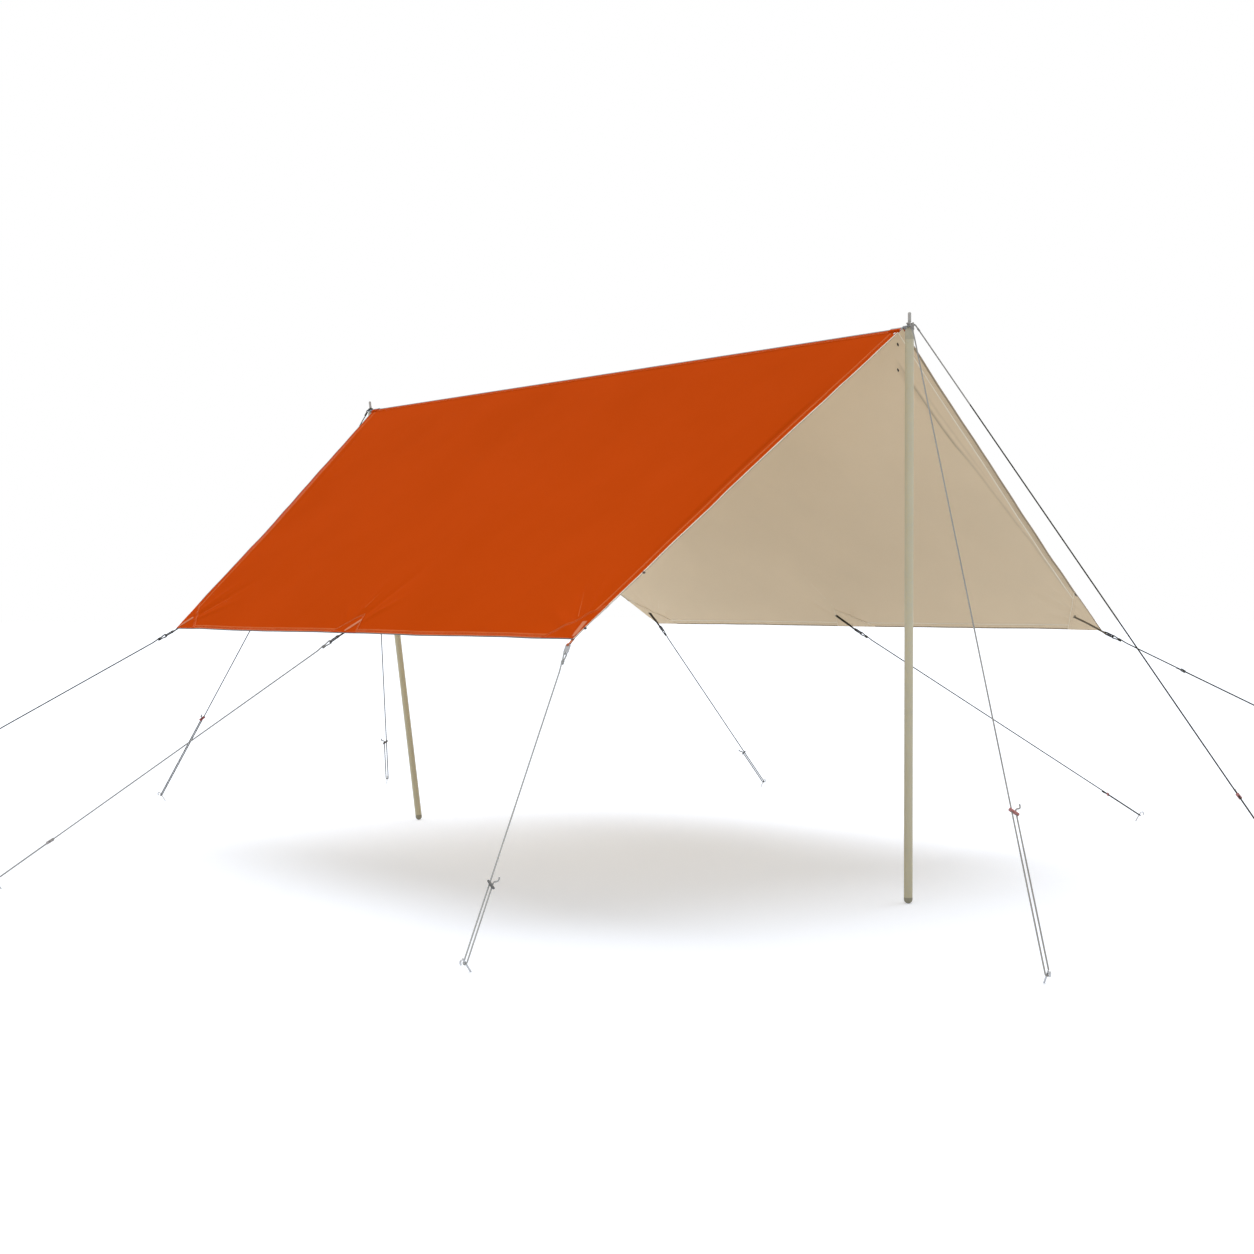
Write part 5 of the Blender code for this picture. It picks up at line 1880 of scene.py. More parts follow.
@dataclass
class Pole:
    """One pole: cap with its spike, three tubes and a foot."""

    label: str
    end: RidgeEnd
    sides: int = 48

    def build(self, wardrobe: Wardrobe) -> None:
        """Make its pieces."""
        body = f"{self.label}_pole"
        matrix = self.end.matrix(self.end.joint)
        stands = PLAN.pole if self.end.lean else PLAN.pole * math.cos(PLAN.lean)
        length = (self.end.joint.z - stands) / math.cos(self.end.lean)
        foot_top = -length + PLAN.foot_collar + PLAN.gap
        section = (-PLAN.cap_length - PLAN.gap - foot_top - PLAN.gap * 2) / 3
        wardrobe.fit(put(self.make_cap(), matrix), "pole_cap", "spike_plastic", body=body,
                     slot="pole_cap", nodes=[f"{body}_cap"])
        for index, label in enumerate(("bottom", "middle", "top")):
            rings = self.tube_rings(section, index < 2)
            tube = turned(f"{body}_{label}_tube", rings, self.sides, hollow=True)
            rise = Matrix.Translation((0.0, 0.0, foot_top + index * (section + PLAN.gap)))
            wardrobe.fit(put(tube, matrix @ rise), "pole_paint", body=body, slot="pole_paint",
                         nodes=[f"{body}_{label}"])
        foot = put(self.make_foot(), matrix @ Matrix.Translation((0.0, 0.0, -length)))
        wardrobe.fit(foot, "pole_foot", body=body, slot="pole_foot", nodes=[f"{body}_foot"])

    def make_cap(self) -> Item:
        """The cap: plug, skirt, shoulder, dome and spike."""
        rings = [(PLAN.plug - 0.001, -PLAN.cap_length - PLAN.plug_length),
                 (PLAN.plug, -PLAN.cap_length - PLAN.plug_length + 0.001),
                 (PLAN.plug, -PLAN.cap_length),
                 (PLAN.pole - 0.0006, -PLAN.cap_length),
                 (PLAN.pole, -PLAN.cap_length + 0.0006),
                 (PLAN.pole, -0.030), (PLAN.pole - 0.0004, -0.0292), (PLAN.pole - 0.0004, -0.0278),
                 (PLAN.pole, -0.027), (PLAN.pole, -PLAN.cap_shoulder - 0.0022)]
        rim, low, rise = 0.0089, -0.0102, 0.0118
        rings += [(rim + (PLAN.pole - rim) * math.cos(a), low + rise * math.sin(a))
                  for a in evenly(0.0, math.pi / 2, 8)[1:]]
        first = math.asin((PLAN.spike + 0.0008) / PLAN.dome)
        last = math.radians(76.0)
        rings += [(PLAN.dome * math.sin(a), PLAN.dome * math.cos(a))
                  for a in evenly(last, first, 5)]
        rings += [(PLAN.spike + 0.0002, PLAN.dome - 0.0006), (PLAN.spike, PLAN.dome + 0.0008)]
        sleeve, low = 0.0061, 0.0235
        rings += [(PLAN.spike, low), (sleeve - 0.0006, low), (sleeve, low + 0.0006)]
        tip = PLAN.spike_length - sleeve
        rings += [(sleeve * math.cos(a), tip + sleeve * math.sin(a))
                  for a in evenly(0.0, math.radians(84.0), 6)]
        cap = turned(f"{self.label}_pole_cap_piece", rings, self.sides)
        for face in cap.data.polygons:
            face.material_index = int(face.center.z > PLAN.dome - 0.0005)
        return cap

    @staticmethod
    def tube_rings(length: float, necked: bool) -> list[tuple[float, float]]:
        """A tube with a crimp below its upper end, and a neck where the next tube plugs on."""
        outer, inner = PLAN.pole, PLAN.pole_inner
        rings = [(inner, 0.0), (outer - 0.0006, 0.0), (outer, 0.0007)]
        for place in (0.0120, length - 0.0150):
            rings += [(outer, place), (outer - 0.0005, place + 0.0006),
                      (outer - 0.0005, place + 0.0022), (outer, place + 0.0028)]
        rings += [(outer, length - 0.0008), (outer - 0.0007, length)]
        if necked:
            neck = PLAN.plug - PLAN.pole_wall
            rings += [(PLAN.plug, length), (PLAN.plug, length + PLAN.neck - 0.001),
                      (PLAN.plug - 0.0008, length + PLAN.neck), (neck, length + PLAN.neck),
                      (neck, length - PLAN.neck_taper)]
            rings.append((inner, length - 2 * PLAN.neck_taper))
        else:
            rings.append((inner, length))
        return rings + [rings[0]]

    def make_foot(self) -> Item:
        """The rounded foot with its plug."""
        rings = [(PLAN.pole * math.cos(a), -PLAN.pole * math.sin(a))
                 for a in evenly(math.pi / 2 - PLAN.lean, 0.0, 8)]
        collar = PLAN.foot_collar
        rings += [(PLAN.pole, collar - 0.0006), (PLAN.pole - 0.0006, collar),
                  (PLAN.plug, collar), (PLAN.plug, collar + PLAN.plug_length)]
        return turned(f"{self.label}_pole_foot_piece", rings, self.sides)


# Tabs along the eaves

class EaveTab:
    """The frame of one tab: its place on the cloth, its edges and the way its line pulls."""

    def __init__(self, side: Side, place: float) -> None:
        self.slope = Slope(side)
        self.down, self.normal = self.slope.down, self.slope.normal
        end = PLAN.slope_length
        front, back = self.slope.edges(end)
        flat = self.slope.top
        self.corner = flat + self.down * end + ALONG * (front + place * (back - front))
        if place in (0.0, 1.0):
            edge = self.slope.edges(end - PLAN.patch_reach)[int(place)]
            up = flat + self.down * (end - PLAN.patch_reach) + ALONG * edge
            gable = (up - self.corner).normalized()
            self.edges = (ALONG if place == 0.0 else -ALONG, gable)
        else:
            self.edges = (ALONG, -ALONG)
        inward = self.square_in(0) + self.square_in(1)
        self.inward = inward.normalized()
        inset = self.edges[0] + self.edges[1] if place in (0.0, 1.0) else inward / 2
        self.seat = self.corner + inset * PLAN.strap_inset

    def square_in(self, index: int) -> Vector:
        """The direction square to an edge, in the cloth and away from its rim."""
        edge, other = self.edges[index], self.edges[1 - index]
        square = other - edge * other.dot(edge)
        return (square if square.length > 1e-6 else -self.down).normalized()

    def axes(self, direction: Vector) -> tuple[Vector, Vector]:
        """Directions along the strap and across it."""
        along = (direction - self.normal * direction.dot(self.normal)).normalized()
        return along, self.normal.cross(along)

    def link_start(self, direction: Vector) -> Vector:
        """Middle of the link's straight bar."""
        along, _ = self.axes(direction)
        eye = self.seat + along * PLAN.strap_outside - self.normal * PLAN.strap_drop
        return eye + direction * (PLAN.strap_bore - PLAN.link_wire - PLAN.gap)

    def run_start(self, direction: Vector) -> Vector:
        """Middle of the line's eye."""
        pull = PLAN.link_eye - PLAN.link_wire - PLAN.gap - PLAN.cord
        return self.link_start(direction) + direction * (
            PLAN.link_straight + PLAN.link_half + pull)

    def outline(self, grow: float, reaches: tuple[float, float]) -> tuple[Vector, ...]:
        """The patch's two far corners and the near one between them, moved out a little."""
        squares = [self.square_in(i) for i in (0, 1)]
        apex = -self.inward * grow / math.cos(squares[0].angle(squares[1]) / 2)
        far = [edge * reach - square * grow
               for edge, reach, square in zip(self.edges, reaches, squares)]
        return far[0], apex, far[1]


@dataclass
class TabDress:
    """A tab's patch, strap, stitches and link."""

    name: str
    tab: EaveTab
    direction: Vector
    reaches: tuple[float, float]
    peak: tuple[float, float] | None = None
    inside: float = PLAN.strap_inside
    strap_finish: str = "olive_web"
    link_finish: str = "dark_link"
    rings: int = 14
    spokes: int = 40
    brace_half: float = 0.010
    brace_length: float = 0.078
    broad: float = 0.010

    def build(self, wardrobe: Wardrobe) -> None:
        """Make them."""
        slot, leaves = self.tab.slope.side.slot, []
        for face in Face:
            leaf = wardrobe.fit(self.make_leaf(face), f"{face.value}_cloth", slot=slot,
                                nodes=[f"{self.name}_tab"])
            rows = wardrobe.fit(self.make_stitches(face), f"{face.value}_thread", slot=slot)
            piping = wardrobe.fit(self.make_piping(face), f"{face.value}_seam", slot=slot)
            self.size()
            self.area()
            f"{self.tab.slope.side.label}_panel_cloth"
            leaves.append(leaf.name)
        brace = wardrobe.fit(self.make_brace(), "orange_web", slot=slot)
        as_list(leaves[:1])
        strap = wardrobe.fit(self.make_strap(), self.strap_finish)
        tack = wardrobe.fit(self.make_tacks(), "dark_thread")
        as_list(leaves[1:])
        wardrobe.fit(self.make_slit(), "slot_shadow")
        wardrobe.fit(self.make_link(), self.link_finish, slot="link_metal",
                     nodes=[f"{self.name}_link"])

    def curve(self, share: float, grow: float) -> Vector:
        """A point of the patch's inner edge, relative to the corner."""
        start, _, end = self.tab.outline(grow, self.reaches)
        if not self.peak:
            return start.lerp(end, share)
        top = self.tab.inward * self.peak[0] + ALONG * self.peak[1]
        return start.lerp(top, share * 2) if share < 0.5 else top.lerp(end, share * 2 - 1)

    def spot(self, share: float, along: float, lift: float, grow: float = -0.0012) -> Vector:
        """A point over the patch.

        Args:
            share: Where the spoke meets the inner edge.
            along: How far out on the spoke.
            lift: Height over the cloth's outer surface.
            grow: How far the patch stands out past the cloth.

        Returns:
            The point.
        """
        apex = self.tab.outline(grow, self.reaches)[1]
        flat = apex.lerp(self.curve(share, grow), along)
        return self.tab.slope.over(self.tab.corner + flat, lift)

    def size(self) -> tuple[float, float]:
        """The flat size of one leaf: along the eave and down the slope."""
        points = [Vector(), *(self.curve(share, 0.0) for share in (0.0, 0.5, 1.0))]
        wide = [point.y for point in points]
        tall = [point.dot(self.tab.down) for point in points]
        return round(max(wide) - min(wide), 3), round(max(tall) - min(tall), 3)

    def area(self) -> float:
        """The flat area of one leaf of the patch."""
        points = [self.curve(share, 0.0) for share in evenly(0.0, 1.0, 20)]
        return round(sum(a.cross(b).length / 2 for a, b in zip(points, points[1:])), 4)

    def make_leaf(self, face: Face) -> Item:
        """One leaf of the patch, turned over the cloth's edge to half the hem's thickness.

        Args:
            face: The leaf on the outer or the inner face.

        Returns:
            The leaf.
        """
        skin = Skin()
        lift = face.pick(PLAN.facing, -PLAN.lining)
        rows: list[list[int]] = []
        for ring in range(1, self.rings + 1):
            rows.append([len(skin.corners) + k for k in range(self.spokes + 1)])
            skin.corners += [
                self.spot(k / self.spokes, ring / self.rings, lift)
                for k in range(self.spokes + 1)
            ]
        top = len(skin.corners)
        skin.corners.append(self.spot(0.5, 0.0, lift))
        rim = [top, *(row[0] for row in rows), *rows[-1][1:-1], *(row[-1] for row in rows[::-1])]
        places = [(0.5, 0.0), *((0.0, i / self.rings) for i in range(1, self.rings + 1)),
                  *((k / self.spokes, 1.0) for k in range(1, self.spokes)),
                  *((1.0, i / self.rings) for i in range(self.rings, 0, -1))]
        edge = [len(skin.corners) + i for i in range(len(rim))]
        skin.corners += [self.spot(share, along, -PLAN.hem / 2 + 0.0004) for share, along in places]

        def add(*corners: int) -> None:
            spots = [skin.corners[i] for i in corners]
            skin.face(corners, [(p.y, (p - self.tab.corner).dot(self.tab.down)) for p in spots])

        for k in range(self.spokes):
            add(top, rows[0][k], rows[0][k + 1])
            for low, high in zip(rows, rows[1:]):
                add(low[k], high[k], high[k + 1], low[k + 1])
        for i, corner in enumerate(rim):
            n = (i + 1) % len(rim)
            add(corner, edge[i], edge[n], rim[n])
        leaf = skin.make(f"{self.name}_patch_{face.label}", 40.0)
        wanted = self.tab.normal * face.pick(1.0, -1.0)
        if sum(f.normal.dot(wanted) * f.area for f in leaf.data.polygons) < 0:
            leaf.data.flip_normals()
        thicken(leaf, PLAN.patch - PLAN.hair, -1.0)
        shade(leaf, 40.0)
        return leaf

    def make_stitches(self, face: Face) -> Item:
        """Two rows inside the inner edge and one along each outer edge."""
        skin = Skin()
        lift = face.pick(PLAN.facing, -PLAN.lining)
        out = self.tab.normal * face.pick(1.0, -1.0)
        lines = [[self.spot(share, along, lift) for share in evenly(0.02, 0.98, 60)]
                 for along in (0.965, 0.91)]
        lines += [[self.spot(share, along, lift) for along in evenly(0.12, 0.92, 24)]
                  for share in (0.035, 0.965)]
        for line in lines:
            PATCH_ROW.sew(skin, line, out)
        return skin.make(f"{self.name}_patch_{face.label}_stitches", CRISP)

    def make_piping(self, face: Face) -> Item:
        """The rolled edge of one leaf, in the paler seam finish as a painted highlight."""
        skin = Skin()
        lift = face.pick(PLAN.facing - PLAN.hair, PLAN.hair - PLAN.lining)
        line = [self.spot(share, 1.0, lift) for share in evenly(0.015, 0.985, 80)]
        skin.tube(line, circle(0.0012, 8))
        return skin.make(f"{self.name}_patch_{face.label}_piping", SOFT)

    def make_brace(self) -> Item:
        """A short length of webbing sewn on the outer leaf, in line with the pull."""
        along, across = self.tab.axes(self.direction)

        def spot(column: int, row: int) -> tuple[float, float]:
            narrow = 0.55 + 0.45 * smooth(0.0, 0.3, row / 26)
            return self.brace_half * narrow * (column / 4 - 1), self.brace_length * row / 26

        def place(column: int, row: int) -> Vector:
            x, z = spot(column, row)
            flat = self.tab.seat + across * x - along * z
            return self.tab.slope.over(flat, PLAN.facing + PLAN.hair)

        brace = laid_grid(f"{self.name}_brace", 9, 27, place, spot, self.tab.normal)
        thicken(brace, 0.0011, 1.0)
        soften(brace, 0.0003, 2, 50.0)
        shade(brace, 40.0)
        return brace

    def strap_point(self, x: float, y: float, z: float = 0.0) -> Vector:
        """A point along, out from and across the strap."""
        along, _ = self.tab.axes(self.direction)
        flat = self.tab.seat + along * x + along.cross(self.tab.normal) * z
        return self.tab.slope.over(flat, y) if x < -0.03 else flat + self.tab.normal * y

    def make_strap(self) -> Item:
        """The strap, which comes out of its slit and turns round the link's bar."""
        thick = PLAN.strap
        main = -PLAN.lining - thick / 2 - PLAN.hair
        lap = main - thick - 0.00015
        x, y = PLAN.strap_outside, -PLAN.strap_drop
        ring = PLAN.strap_bore + thick / 2
        loop = [(x + ring * math.cos(a), y + ring * math.sin(a))
                for a in evenly(math.radians(110.0), math.radians(-130.0), 12)]
        route = [(-self.inside, main + 0.0022), (-self.inside + 0.006, main)]
        steps = round((self.inside + 0.0005) / 0.0115)
        route += [(0.0005 - 0.0115 * i, main) for i in range(steps - 2, -1, -1)]
        route += [(0.0245, main + PLAN.hair), (0.0305, main + 0.0020)]
        route += loop
        route += [(0.0265, lap - 0.0003), (0.0200, lap), (0.0120, lap), (0.0030, lap)]
        points = rounded([self.strap_point(a, b) for a, b in route], 4)
        across = self.strap_point(0.0, 0.0, 1.0) - self.strap_point(0.0, 0.0)
        along = self.strap_point(1.0, 0.0) - self.strap_point(0.0, 0.0)
        half, edge, round_off = PLAN.web / 2, thick / 2, 0.0005
        lower = [(-half, -edge * 0.4), (-half + round_off, -edge), (half - round_off, -edge),
                 (half, -edge * 0.4)]
        section = lower + [(x, -y) for x, y in reversed(lower)]
        frames = []
        for i, point in enumerate(points):
            inside = 1 - smooth(-0.012, 0.014, (point - self.tab.seat).dot(along))
            outbound = i < len(points) / 2
            broad = 1 + (self.broad / half - 1) * inside * outbound
            frames.append((across * broad, heading(points, i).cross(across)))
        skin = Skin()
        skin.tube(points, section, frames)
        return skin.make(f"{self.name}_strap", 45.0)

    def make_tacks(self) -> Item:
        """Bar tacks across the strap and a sewn box on its lap."""
        skin = Skin()
        main = -PLAN.lining - PLAN.strap - 2 * PLAN.hair
        lap = main - PLAN.strap - PLAN.hair
        half = PLAN.web / 2 - 0.0015
        out = -self.tab.normal
        broad = self.broad - 0.0015
        for x in (0.007 - self.inside, 0.011 - self.inside, -0.020, -0.016):
            BAR_TACK.sew(skin, spaced(self.strap_point(x, main, -broad),
                                      self.strap_point(x, main, broad), 0.002), out)
        corners = [(0.006, -half), (0.019, -half), (0.019, half), (0.006, half)]
        ring = [self.strap_point(a, lap, b) for a, b in corners]
        for a, b in ((0, 1), (1, 2), (2, 3), (3, 0), (0, 2), (1, 3)):
            BOX_ROW.sew(skin, spaced(ring[a], ring[b], 0.002), out)
        if not self.peak:
            foot = self.spot(0.985, 0.95, -PLAN.lining)
            gable = self.tab.edges[1]
            skin.block(foot, gable, gable.cross(out), out, (0.026, 0.006, 0.0010))
        return skin.make(f"{self.name}_strap_tacks", CRISP)

    def make_slit(self) -> Item:
        """The bound slit that the strap comes out of."""
        skin = Skin()
        x, y = 0.0015 - self.inside, -PLAN.lining - 0.0004
        wide, long = 0.0026, 0.0120
        outline = [
            self.strap_point(x + wide * math.cos(a), y, long * math.sin(a))
            for a in evenly(0.0, math.tau, 24)
        ]
        skin.tube(outline, circle(PLAN.slit_rim, 6))
        return skin.make(f"{self.name}_strap_slit", SOFT)

    def make_link(self) -> Item:
        """A bent wire ring with a weld on its straight bar."""
        across = self.tab.axes(self.direction)[1]
        start = self.tab.link_start(self.direction)
        inner = PLAN.link_half - PLAN.link_corner
        side = [
            (PLAN.link_corner * (1 - math.cos(a)), inner + PLAN.link_corner * math.sin(a))
            for a in evenly(0.0, math.pi / 2, 6)
        ]
        far = [
            (PLAN.link_straight + PLAN.link_half * math.sin(a), PLAN.link_half * math.cos(a))
            for a in evenly(0.0, math.pi, 20)
        ]
        route = side + far + [(x, -y) for x, y in reversed(side)] + [(0.0, -inner / 2)]
        route += [(0.0, 0.0), (0.0, inner / 2), side[0]]
        points = [start + self.direction * x + across * y for x, y in route]
        wider, back = 1.35, 0.0007
        section = [(wider * x - back, y) for x, y in circle(PLAN.link_wire, 14)]
        skin = Skin()
        skin.tube(points, section, carried(points, self.direction))
        web = [start + self.direction * x for x in (0.0048, 0.0056, 0.0240, 0.0248)]
        plate = [(0.0085, 0.0010), (-0.0085, 0.0010), (-0.0085, -0.0010), (0.0085, -0.0010)]
        skin.tube(web, plate, [(across, across.cross(self.direction))] * 4, [0.95, 1.0, 1.0, 0.95])
        link = skin.make(f"{self.name}_link_ring", SOFT)
        outward(link)
        shade(link, SOFT)
        return link


# Lines

class SpikePath:
    """A line's path from its eye on the spike, over the tongue and down to its run."""

    def __init__(self, end: RidgeEnd, layer: int) -> None:
        self.end = end
        self.height = PLAN.eyelet_half + PLAN.gap + PLAN.cord
        self.height += layer * (2 * PLAN.cord + PLAN.gap)
        self.first = PLAN.spike_eye - PLAN.spike - PLAN.gap - PLAN.cord
        self.flat = PLAN.tongue_half - self.first
        self.bend = PLAN.bend + layer * (2 * PLAN.cord + PLAN.gap)

    def axes(self, direction: Vector) -> tuple[Vector, Vector, float]:
        """Directions along and across the tongue, and the angle of the bend."""
        ahead = (direction - self.end.up * direction.dot(self.end.up)).normalized()
        return ahead, self.end.up.cross(ahead), math.acos(direction.dot(ahead))

    def centreline(self, direction: Vector, distance: float) -> Vector:
        """The point at a distance along the path, from the eye's middle."""
        ahead, _, angle = self.axes(direction)
        base = self.end.eyelet + self.end.up * self.height + ahead * self.first
        if distance <= self.flat:
            return base + ahead * distance
        turn = min((distance - self.flat) / self.bend, angle)
        point = base + ahead * (self.flat + self.bend * math.sin(turn))
        point -= self.end.up * self.bend * (1 - math.cos(turn))
        left = distance - self.flat - self.bend * turn
        return point + direction * left if turn == angle else point

    def run_start(self, direction: Vector) -> Vector:
        """Where the straight run begins."""
        angle = self.axes(direction)[2]
        return self.centreline(direction, self.flat + self.bend * angle + PLAN.knot_reach)


def level_across(direction: Vector) -> Vector:
    """The level direction square to a line."""
    return UP.cross(direction).normalized()


class Route:
    """Where one line runs: its direction, its eye, its knot, its peg and its slider."""

    def __init__(self, start: Callable[[Vector], Vector], spot: tuple[float, float],
                 distance: float) -> None:
        self.peg = Vector((spot[0], spot[1], PLAN.peg_line))
        self.distance = distance
        direction = (self.peg - start(-UP)).normalized()
        for _ in range(PLAN.settling):
            end = self.peg - level_across(direction) * PLAN.strand
            direction = (end - start(direction)).normalized()
        self.direction = direction
        self.across = level_across(direction)
        self.slider = self.peg - direction * distance
        self.centreline: Callable[[float], Vector] = lambda at: self.peg
        self.spread_axis = self.across
        self.radius = PLAN.link_eye
        self.last_stop = 0.0

    def set_eye(self, centreline: Callable[[float], Vector], spread_axis: Vector, radius: float,
                last_stop: float) -> None:
        """Say where the line's eye is.

        Args:
            centreline: The point at a distance from the eye's middle.
            spread_axis: Where the eye's two strands lie apart.
            radius: The eye's radius.
            last_stop: How far the strands stay apart before they meet.
        """
        self.centreline, self.spread_axis = centreline, spread_axis
        self.radius, self.last_stop = radius, last_stop

    @property
    def knot(self) -> float:
        """Distance of the whipping from the eye's middle."""
        return self.last_stop + PLAN.knot

    def apart(self, at: float) -> float:
        """Half the space between the eye's strands at a distance."""
        wide = self.radius * (1 - (1 - PLAN.eye_taper) * smooth(0.0, self.radius, at))
        return wide + (PLAN.spread - wide) * smooth(self.last_stop * 0.5, self.knot - 0.007, at)

    def main_points(self) -> Path:
        """The line from its tail, round its eye, down its run and round its peg."""
        knot, spread = self.knot, self.spread_axis
        steps = max(10, round(knot / 0.003))
        away = evenly(0.0, knot, steps)[1:]
        points = [self.centreline(knot + PLAN.tail) + spread * PLAN.spread]
        points += [self.centreline(at) + spread * self.apart(at) for at in reversed(away)]
        points += [
            self.centreline(-self.radius * math.sin(a)) + spread * self.radius * math.cos(a)
            for a in evenly(0.0, math.pi, 18)
        ]
        points += [self.centreline(at) - spread * self.apart(at) for at in away]
        for share in (0.25, 0.5, 0.75, 1.0):
            off = PLAN.spread * (1 - smooth(0.0, 1.0, share))
            points.append(self.centreline(knot + PLAN.knot_reach * share) - spread * off)
        end = self.peg - self.across * PLAN.strand
        points += spaced(self.centreline(knot + PLAN.knot_reach), end, 0.06)[1:]
        return points + [
            self.peg - self.across * PLAN.strand * math.cos(a)
            + self.direction * PLAN.strand * math.sin(a)
            for a in evenly(0.0, math.pi, 12)[1:]
        ]

    def return_points(self) -> Path:
        """The line's end from its peg back up to its slider."""
        start = self.peg + self.across * PLAN.strand
        return spaced(start, start - self.direction * self.distance, 0.03)

    def whipping_points(self) -> Path:
        """The thread wound round the two strands where the eye is closed."""
        third = self.direction.cross(self.spread_axis).normalized()
        wide, deep = PLAN.spread + PLAN.cord + 0.0004, PLAN.cord + 0.0004
        turns, pitch, start = 10.25, 0.00125, self.knot - 0.0065
        return [
            self.centreline(start + pitch * turn) + self.spread_axis * wide * math.cos(a)
            + third * deep * math.sin(a)
            for turn, a in ((t, math.tau * t) for t in evenly(0.0, turns, round(turns * 20)))
        ]

    def tail_points(self) -> Path:
        """The loose end past the slider, which hooks outwards."""
        route = ((0.0, -0.0004), (0.0, -0.0035), (0.0012, -0.0070), (0.0050, -0.0105),
                 (0.0105, -0.0110), (0.0150, -0.0135), (0.0165, -0.0200), (0.0160, -0.0260))
        return rounded([
            self.slider + self.across * (PLAN.strand + x) + self.direction * y
            for x, y in route
        ], 4)


Strand = tuple[Item, Path, list[Item]]


@dataclass
class GuyLine:
    """One line with its knot, its slider and its peg."""

    name: str
    route: Route
    cord: CordShade
    plastic: SliderShade
    darker_from: float = 0.0

    def build(self, wardrobe: Wardrobe) -> None:
        """Make them."""
        finish = f"cord_{self.cord.value}"
        node = f"{self.name}_guy"
        route = self.route
        main, path = round_bar(f"{node}_cord", route.main_points(), PLAN.cord)
        wardrobe.fit(main, finish, "cord_dark", slot="guy_cord", nodes=[node])
        if self.darker_from:
            for face in main.data.polygons:
                reach = (face.center - route.peg).dot(-route.direction)
                face.material_index = int(reach < self.darker_from)
        knot, _ = round_bar(f"{node}_whipping", route.whipping_points(), PLAN.thread, 8)
        wardrobe.fit(knot, finish, slot="guy_cord")
        back, back_path = round_bar(f"{node}_return", route.return_points(), PLAN.cord)
        wardrobe.fit(back, finish, slot="guy_cord", nodes=[node])
        body = f"{self.name}_slider"
        tail, _ = round_bar(
            f"{node}_tail", route.tail_points(), PLAN.cord,
            swell=lambda share: 1.0 + 0.32 * smooth(0.86, 0.92, share),
        )
        wardrobe.fit(tail, finish, body=body, slot="guy_cord")
        slider = wardrobe.fit(self.make_slider(), f"slider_{self.plastic.value}", body=body,
                              slot="slider_plastic", nodes=[body])
        wardrobe.fit(self.make_peg(), "peg_steel", slot="peg_steel", nodes=[f"{self.name}_peg"])
        self.declare((main, path, [knot]), (back, back_path, [tail, slider]))

    def declare(self, main: Strand, back: Strand) -> None:
        route = self.route
        tail_place = main[1][0] - route.direction * 0.026
        for (cord, path, others), leaves in ((main, tail_place), (back, back[1][0])):
            tuple(leaves)
            round(distances(path)[-1], 3)
            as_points(path)
            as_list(others)
        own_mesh(back[0], f"{self.name}_slide", axis=tuple(route.direction),
                  anchor=tuple(route.peg), keep=PLAN.slider_stop / route.distance)

    def make_slider(self) -> Item:
        """A moulded bar askew on the line, with two bores and a waist."""
        route = self.route
        tilt = PLAN.slider_tilt
        long_way = route.direction * math.cos(tilt) + route.across * math.sin(tilt)
        short_way = route.across * math.cos(tilt) - route.direction * math.sin(tilt)
        matrix = frame_matrix(route.slider, long_way, short_way, long_way.cross(short_way))
        deselect()
        radius, half = PLAN.slider_depth / 2, PLAN.slider_length / 2
        bpy.ops.mesh.primitive_circle_add(vertices=32, radius=radius, fill_type="NGON",
                                          location=(0.0, 0.0, -PLAN.slider_width / 2))
        bar = just_made(f"{self.name}_slider_bar")
        put(bar, Matrix.Identity(4))
        for vertex in bar.data.vertices:
            side = 1 if vertex.co.x > 1e-6 else -1 if vertex.co.x < -1e-6 else 0
            vertex.co.x += side * (half - radius)
        with editing(bar):
            bpy.ops.mesh.extrude_region_move(
                TRANSFORM_OT_translate={"value": (0.0, 0.0, PLAN.slider_width)})
        outward(bar)
        soften(bar, 0.0014, 3, 50.0)
        put(bar, matrix)
        for sign in (-1, 1):
            deselect()
            bpy.ops.mesh.primitive_cylinder_add(vertices=28, radius=PLAN.slider_bore,
                                                depth=2 * PLAN.slider_length)
            drill = just_made("slider_drill")
            middle = route.slider + route.across * PLAN.strand * sign
            third = route.direction.cross(route.across)
            put(drill, frame_matrix(middle, route.across, third, route.direction))
            cut_with(bar, drill)
        soften(bar, 0.0003, 2, 42.0)
        shade(bar, 38.0)
        return bar

    def make_peg(self) -> Item:
        """The hooked peg, cut off at the ground."""
        direction = self.route.direction
        level = Vector((direction.x, direction.y, 0.0)).normalized()
        rise = max(math.pi / 2 - math.asin(-direction.z), PLAN.peg_rise)
        shank = level * math.cos(rise) + UP * math.sin(rise)
        outward_way = level * math.sin(rise) - UP * math.cos(rise)
        centre = self.route.peg
        buried = centre - shank * (2 * PLAN.peg_line / shank.z)
        top = centre + shank * PLAN.peg_neck
        hook = [
            top + (outward_way * (1 - math.cos(a)) + shank * math.sin(a)) * PLAN.peg_hook
            for a in evenly(0.0, PLAN.peg_turn, 28)
        ]
        peg, _ = round_bar(f"{self.name}_peg_wire", spaced(buried, top, 0.02)[:-1] + hook,
                           PLAN.peg, 16)
        with editing(peg):
            bpy.ops.mesh.bisect(plane_co=(0.0, 0.0, 0.0002), plane_no=(0.0, 0.0, 1.0),
                                use_fill=True, clear_inner=True)
        shade(peg, 50.0)
        return peg


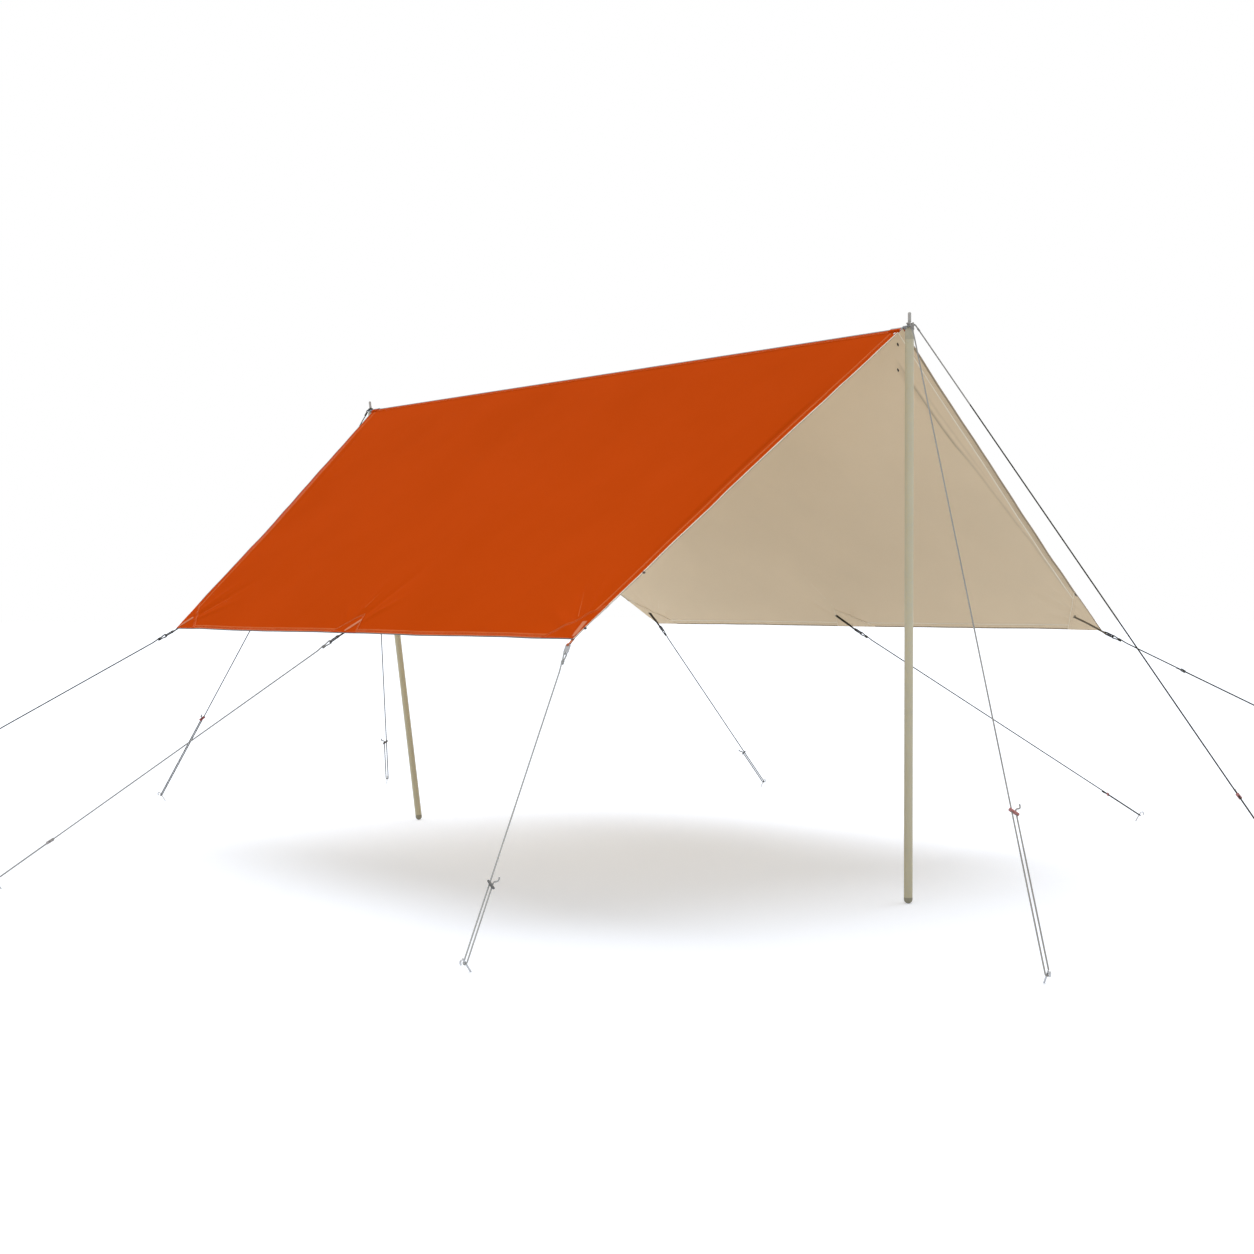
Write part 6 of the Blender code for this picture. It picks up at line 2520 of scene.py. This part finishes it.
RIDGE_LINES = (
    ("ridge_front_right", -1, 0, (0.75, PLAN.front_peg), 0.48, CordShade.MIDDLE,
     SliderShade.DULL_RED),
    ("ridge_front_left", -1, 1, (-0.75, PLAN.front_peg), 0.52, CordShade.MIDDLE,
     SliderShade.DULL_RED),
    ("ridge_back_left", 1, 0, (-0.62, PLAN.back_peg), 0.51, CordShade.DARK, SliderShade.RED),
    ("ridge_back_right", 1, 1, (0.84, PLAN.back_peg), 0.28, CordShade.DARK, SliderShade.BROWN),
)
EAVE_LINES = (
    ("left_back", Side.LEFT, 1.0, (-PLAN.side_peg, 2.20), 0.45, CordShade.DARK,
     SliderShade.GREY),
    ("left_middle", Side.LEFT, 0.5, (-2.45, 0.60), 0.26, CordShade.MIDDLE, SliderShade.PALE),
    ("left_front", Side.LEFT, 0.0, (-1.95, -1.85), 0.25, CordShade.PALE, SliderShade.GREY),
    ("right_back", Side.RIGHT, 1.0, (2.45, 1.45), 0.28, CordShade.DARK, SliderShade.GREY),
    ("right_middle", Side.RIGHT, 0.5, (PLAN.side_peg, -0.95), 0.20, CordShade.DARK,
     SliderShade.DULL_RED),
    ("right_front", Side.RIGHT, 0.0, (PLAN.side_peg, PLAN.front_peg), 1.76, CordShade.DARK,
     SliderShade.GREY),
)


# How much of a line, up from its peg, is darker than the rest
DARK_LENGTHS = {"ridge_front_right": 2.15}

TAB_LOOKS: dict[str, dict[str, object]] = {
    "left_back": {"reaches": (0.18, 0.20)},
    "left_middle": {"reaches": (0.095, 0.095), "peak": (0.118, -0.010)},
    "left_front": {"reaches": (0.18, 0.18), "strap_finish": "orange_web",
                   "link_finish": "pale_link"},
    "right_back": {"reaches": (0.17, 0.23)},
    "right_middle": {"reaches": (0.085, 0.165), "peak": (0.135, 0.010)},
    "right_front": {"reaches": (0.17, 0.26), "broad": 0.0065, "inside": 0.112,
                    "strap_finish": "tan_web"},
}


def build_ridge_line(
    name: str, end: RidgeEnd, layer: int, spot: tuple[float, float], distance: float,
    cord: CordShade, plastic: SliderShade, wardrobe: Wardrobe,
) -> None:
    """Make a line from a spike."""
    path = SpikePath(end, layer)
    route = Route(path.run_start, spot, distance)
    _, across, angle = path.axes(route.direction)
    route.set_eye(lambda at: path.centreline(route.direction, at), across, PLAN.spike_eye,
                  path.flat + path.bend * angle)
    GuyLine(name, route, cord, plastic, DARK_LENGTHS.get(name, 0.0)).build(wardrobe)


def build_eave_line(
    name: str, side: Side, place: float, spot: tuple[float, float], distance: float,
    cord: CordShade, plastic: SliderShade, wardrobe: Wardrobe,
) -> TabDress:
    """Make a line from a tab, and give back the tab's dress to be built later."""
    tab = EaveTab(side, place)
    route = Route(tab.run_start, spot, distance)
    centre = tab.run_start(route.direction)
    upright = tab.axes(route.direction)[1].cross(route.direction)
    route.set_eye(lambda at: centre + route.direction * at, upright, PLAN.link_eye,
                  PLAN.knot_reach / 4)
    GuyLine(name, route, cord, plastic).build(wardrobe)
    return TabDress(name, tab, route.direction, **TAB_LOOKS[name])


def corners() -> list[list[float]]:
    """The shown object's box as plain numbers."""
    return [[round(value, 6) for value in corner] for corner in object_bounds()]


def main() -> None:
    """Dress the tarp."""
    logging.basicConfig(level=logging.INFO, format="%(message)s")
    for item in list(bpy.data.objects):
        bpy.data.objects.remove(item, do_unlink=True)
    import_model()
    Studio().build()
    wardrobe = Wardrobe()
    ends = {-1: RidgeEnd(-1, 0.0), 1: RidgeEnd(1, PLAN.lean)}
    for name, side, layer, spot, distance, cord, plastic in RIDGE_LINES:
        build_ridge_line(name, ends[side], layer, spot, distance, cord, plastic, wardrobe)
    tabs = [build_eave_line(*line, wardrobe) for line in EAVE_LINES]
    for tab in tabs:
        tab.build(wardrobe)
    for label, end, finish in (("front", ends[-1], "pale_tongue"),
                               ("back", ends[1], "slate_tongue")):
        RidgeTongue(label, end, finish).build(wardrobe)
        Pole(label, end).build(wardrobe)
    Panel(Side.LEFT, 0.038, 0.021, "pale_binding").build(wardrobe)
    # The right panel's bindings are brown as painted shade along its edges.
    Panel(Side.RIGHT, 0.032, 0.030, "brown_binding").build(wardrobe)
    Ridge().build(wardrobe)


if __name__ == "__main__":
    main()
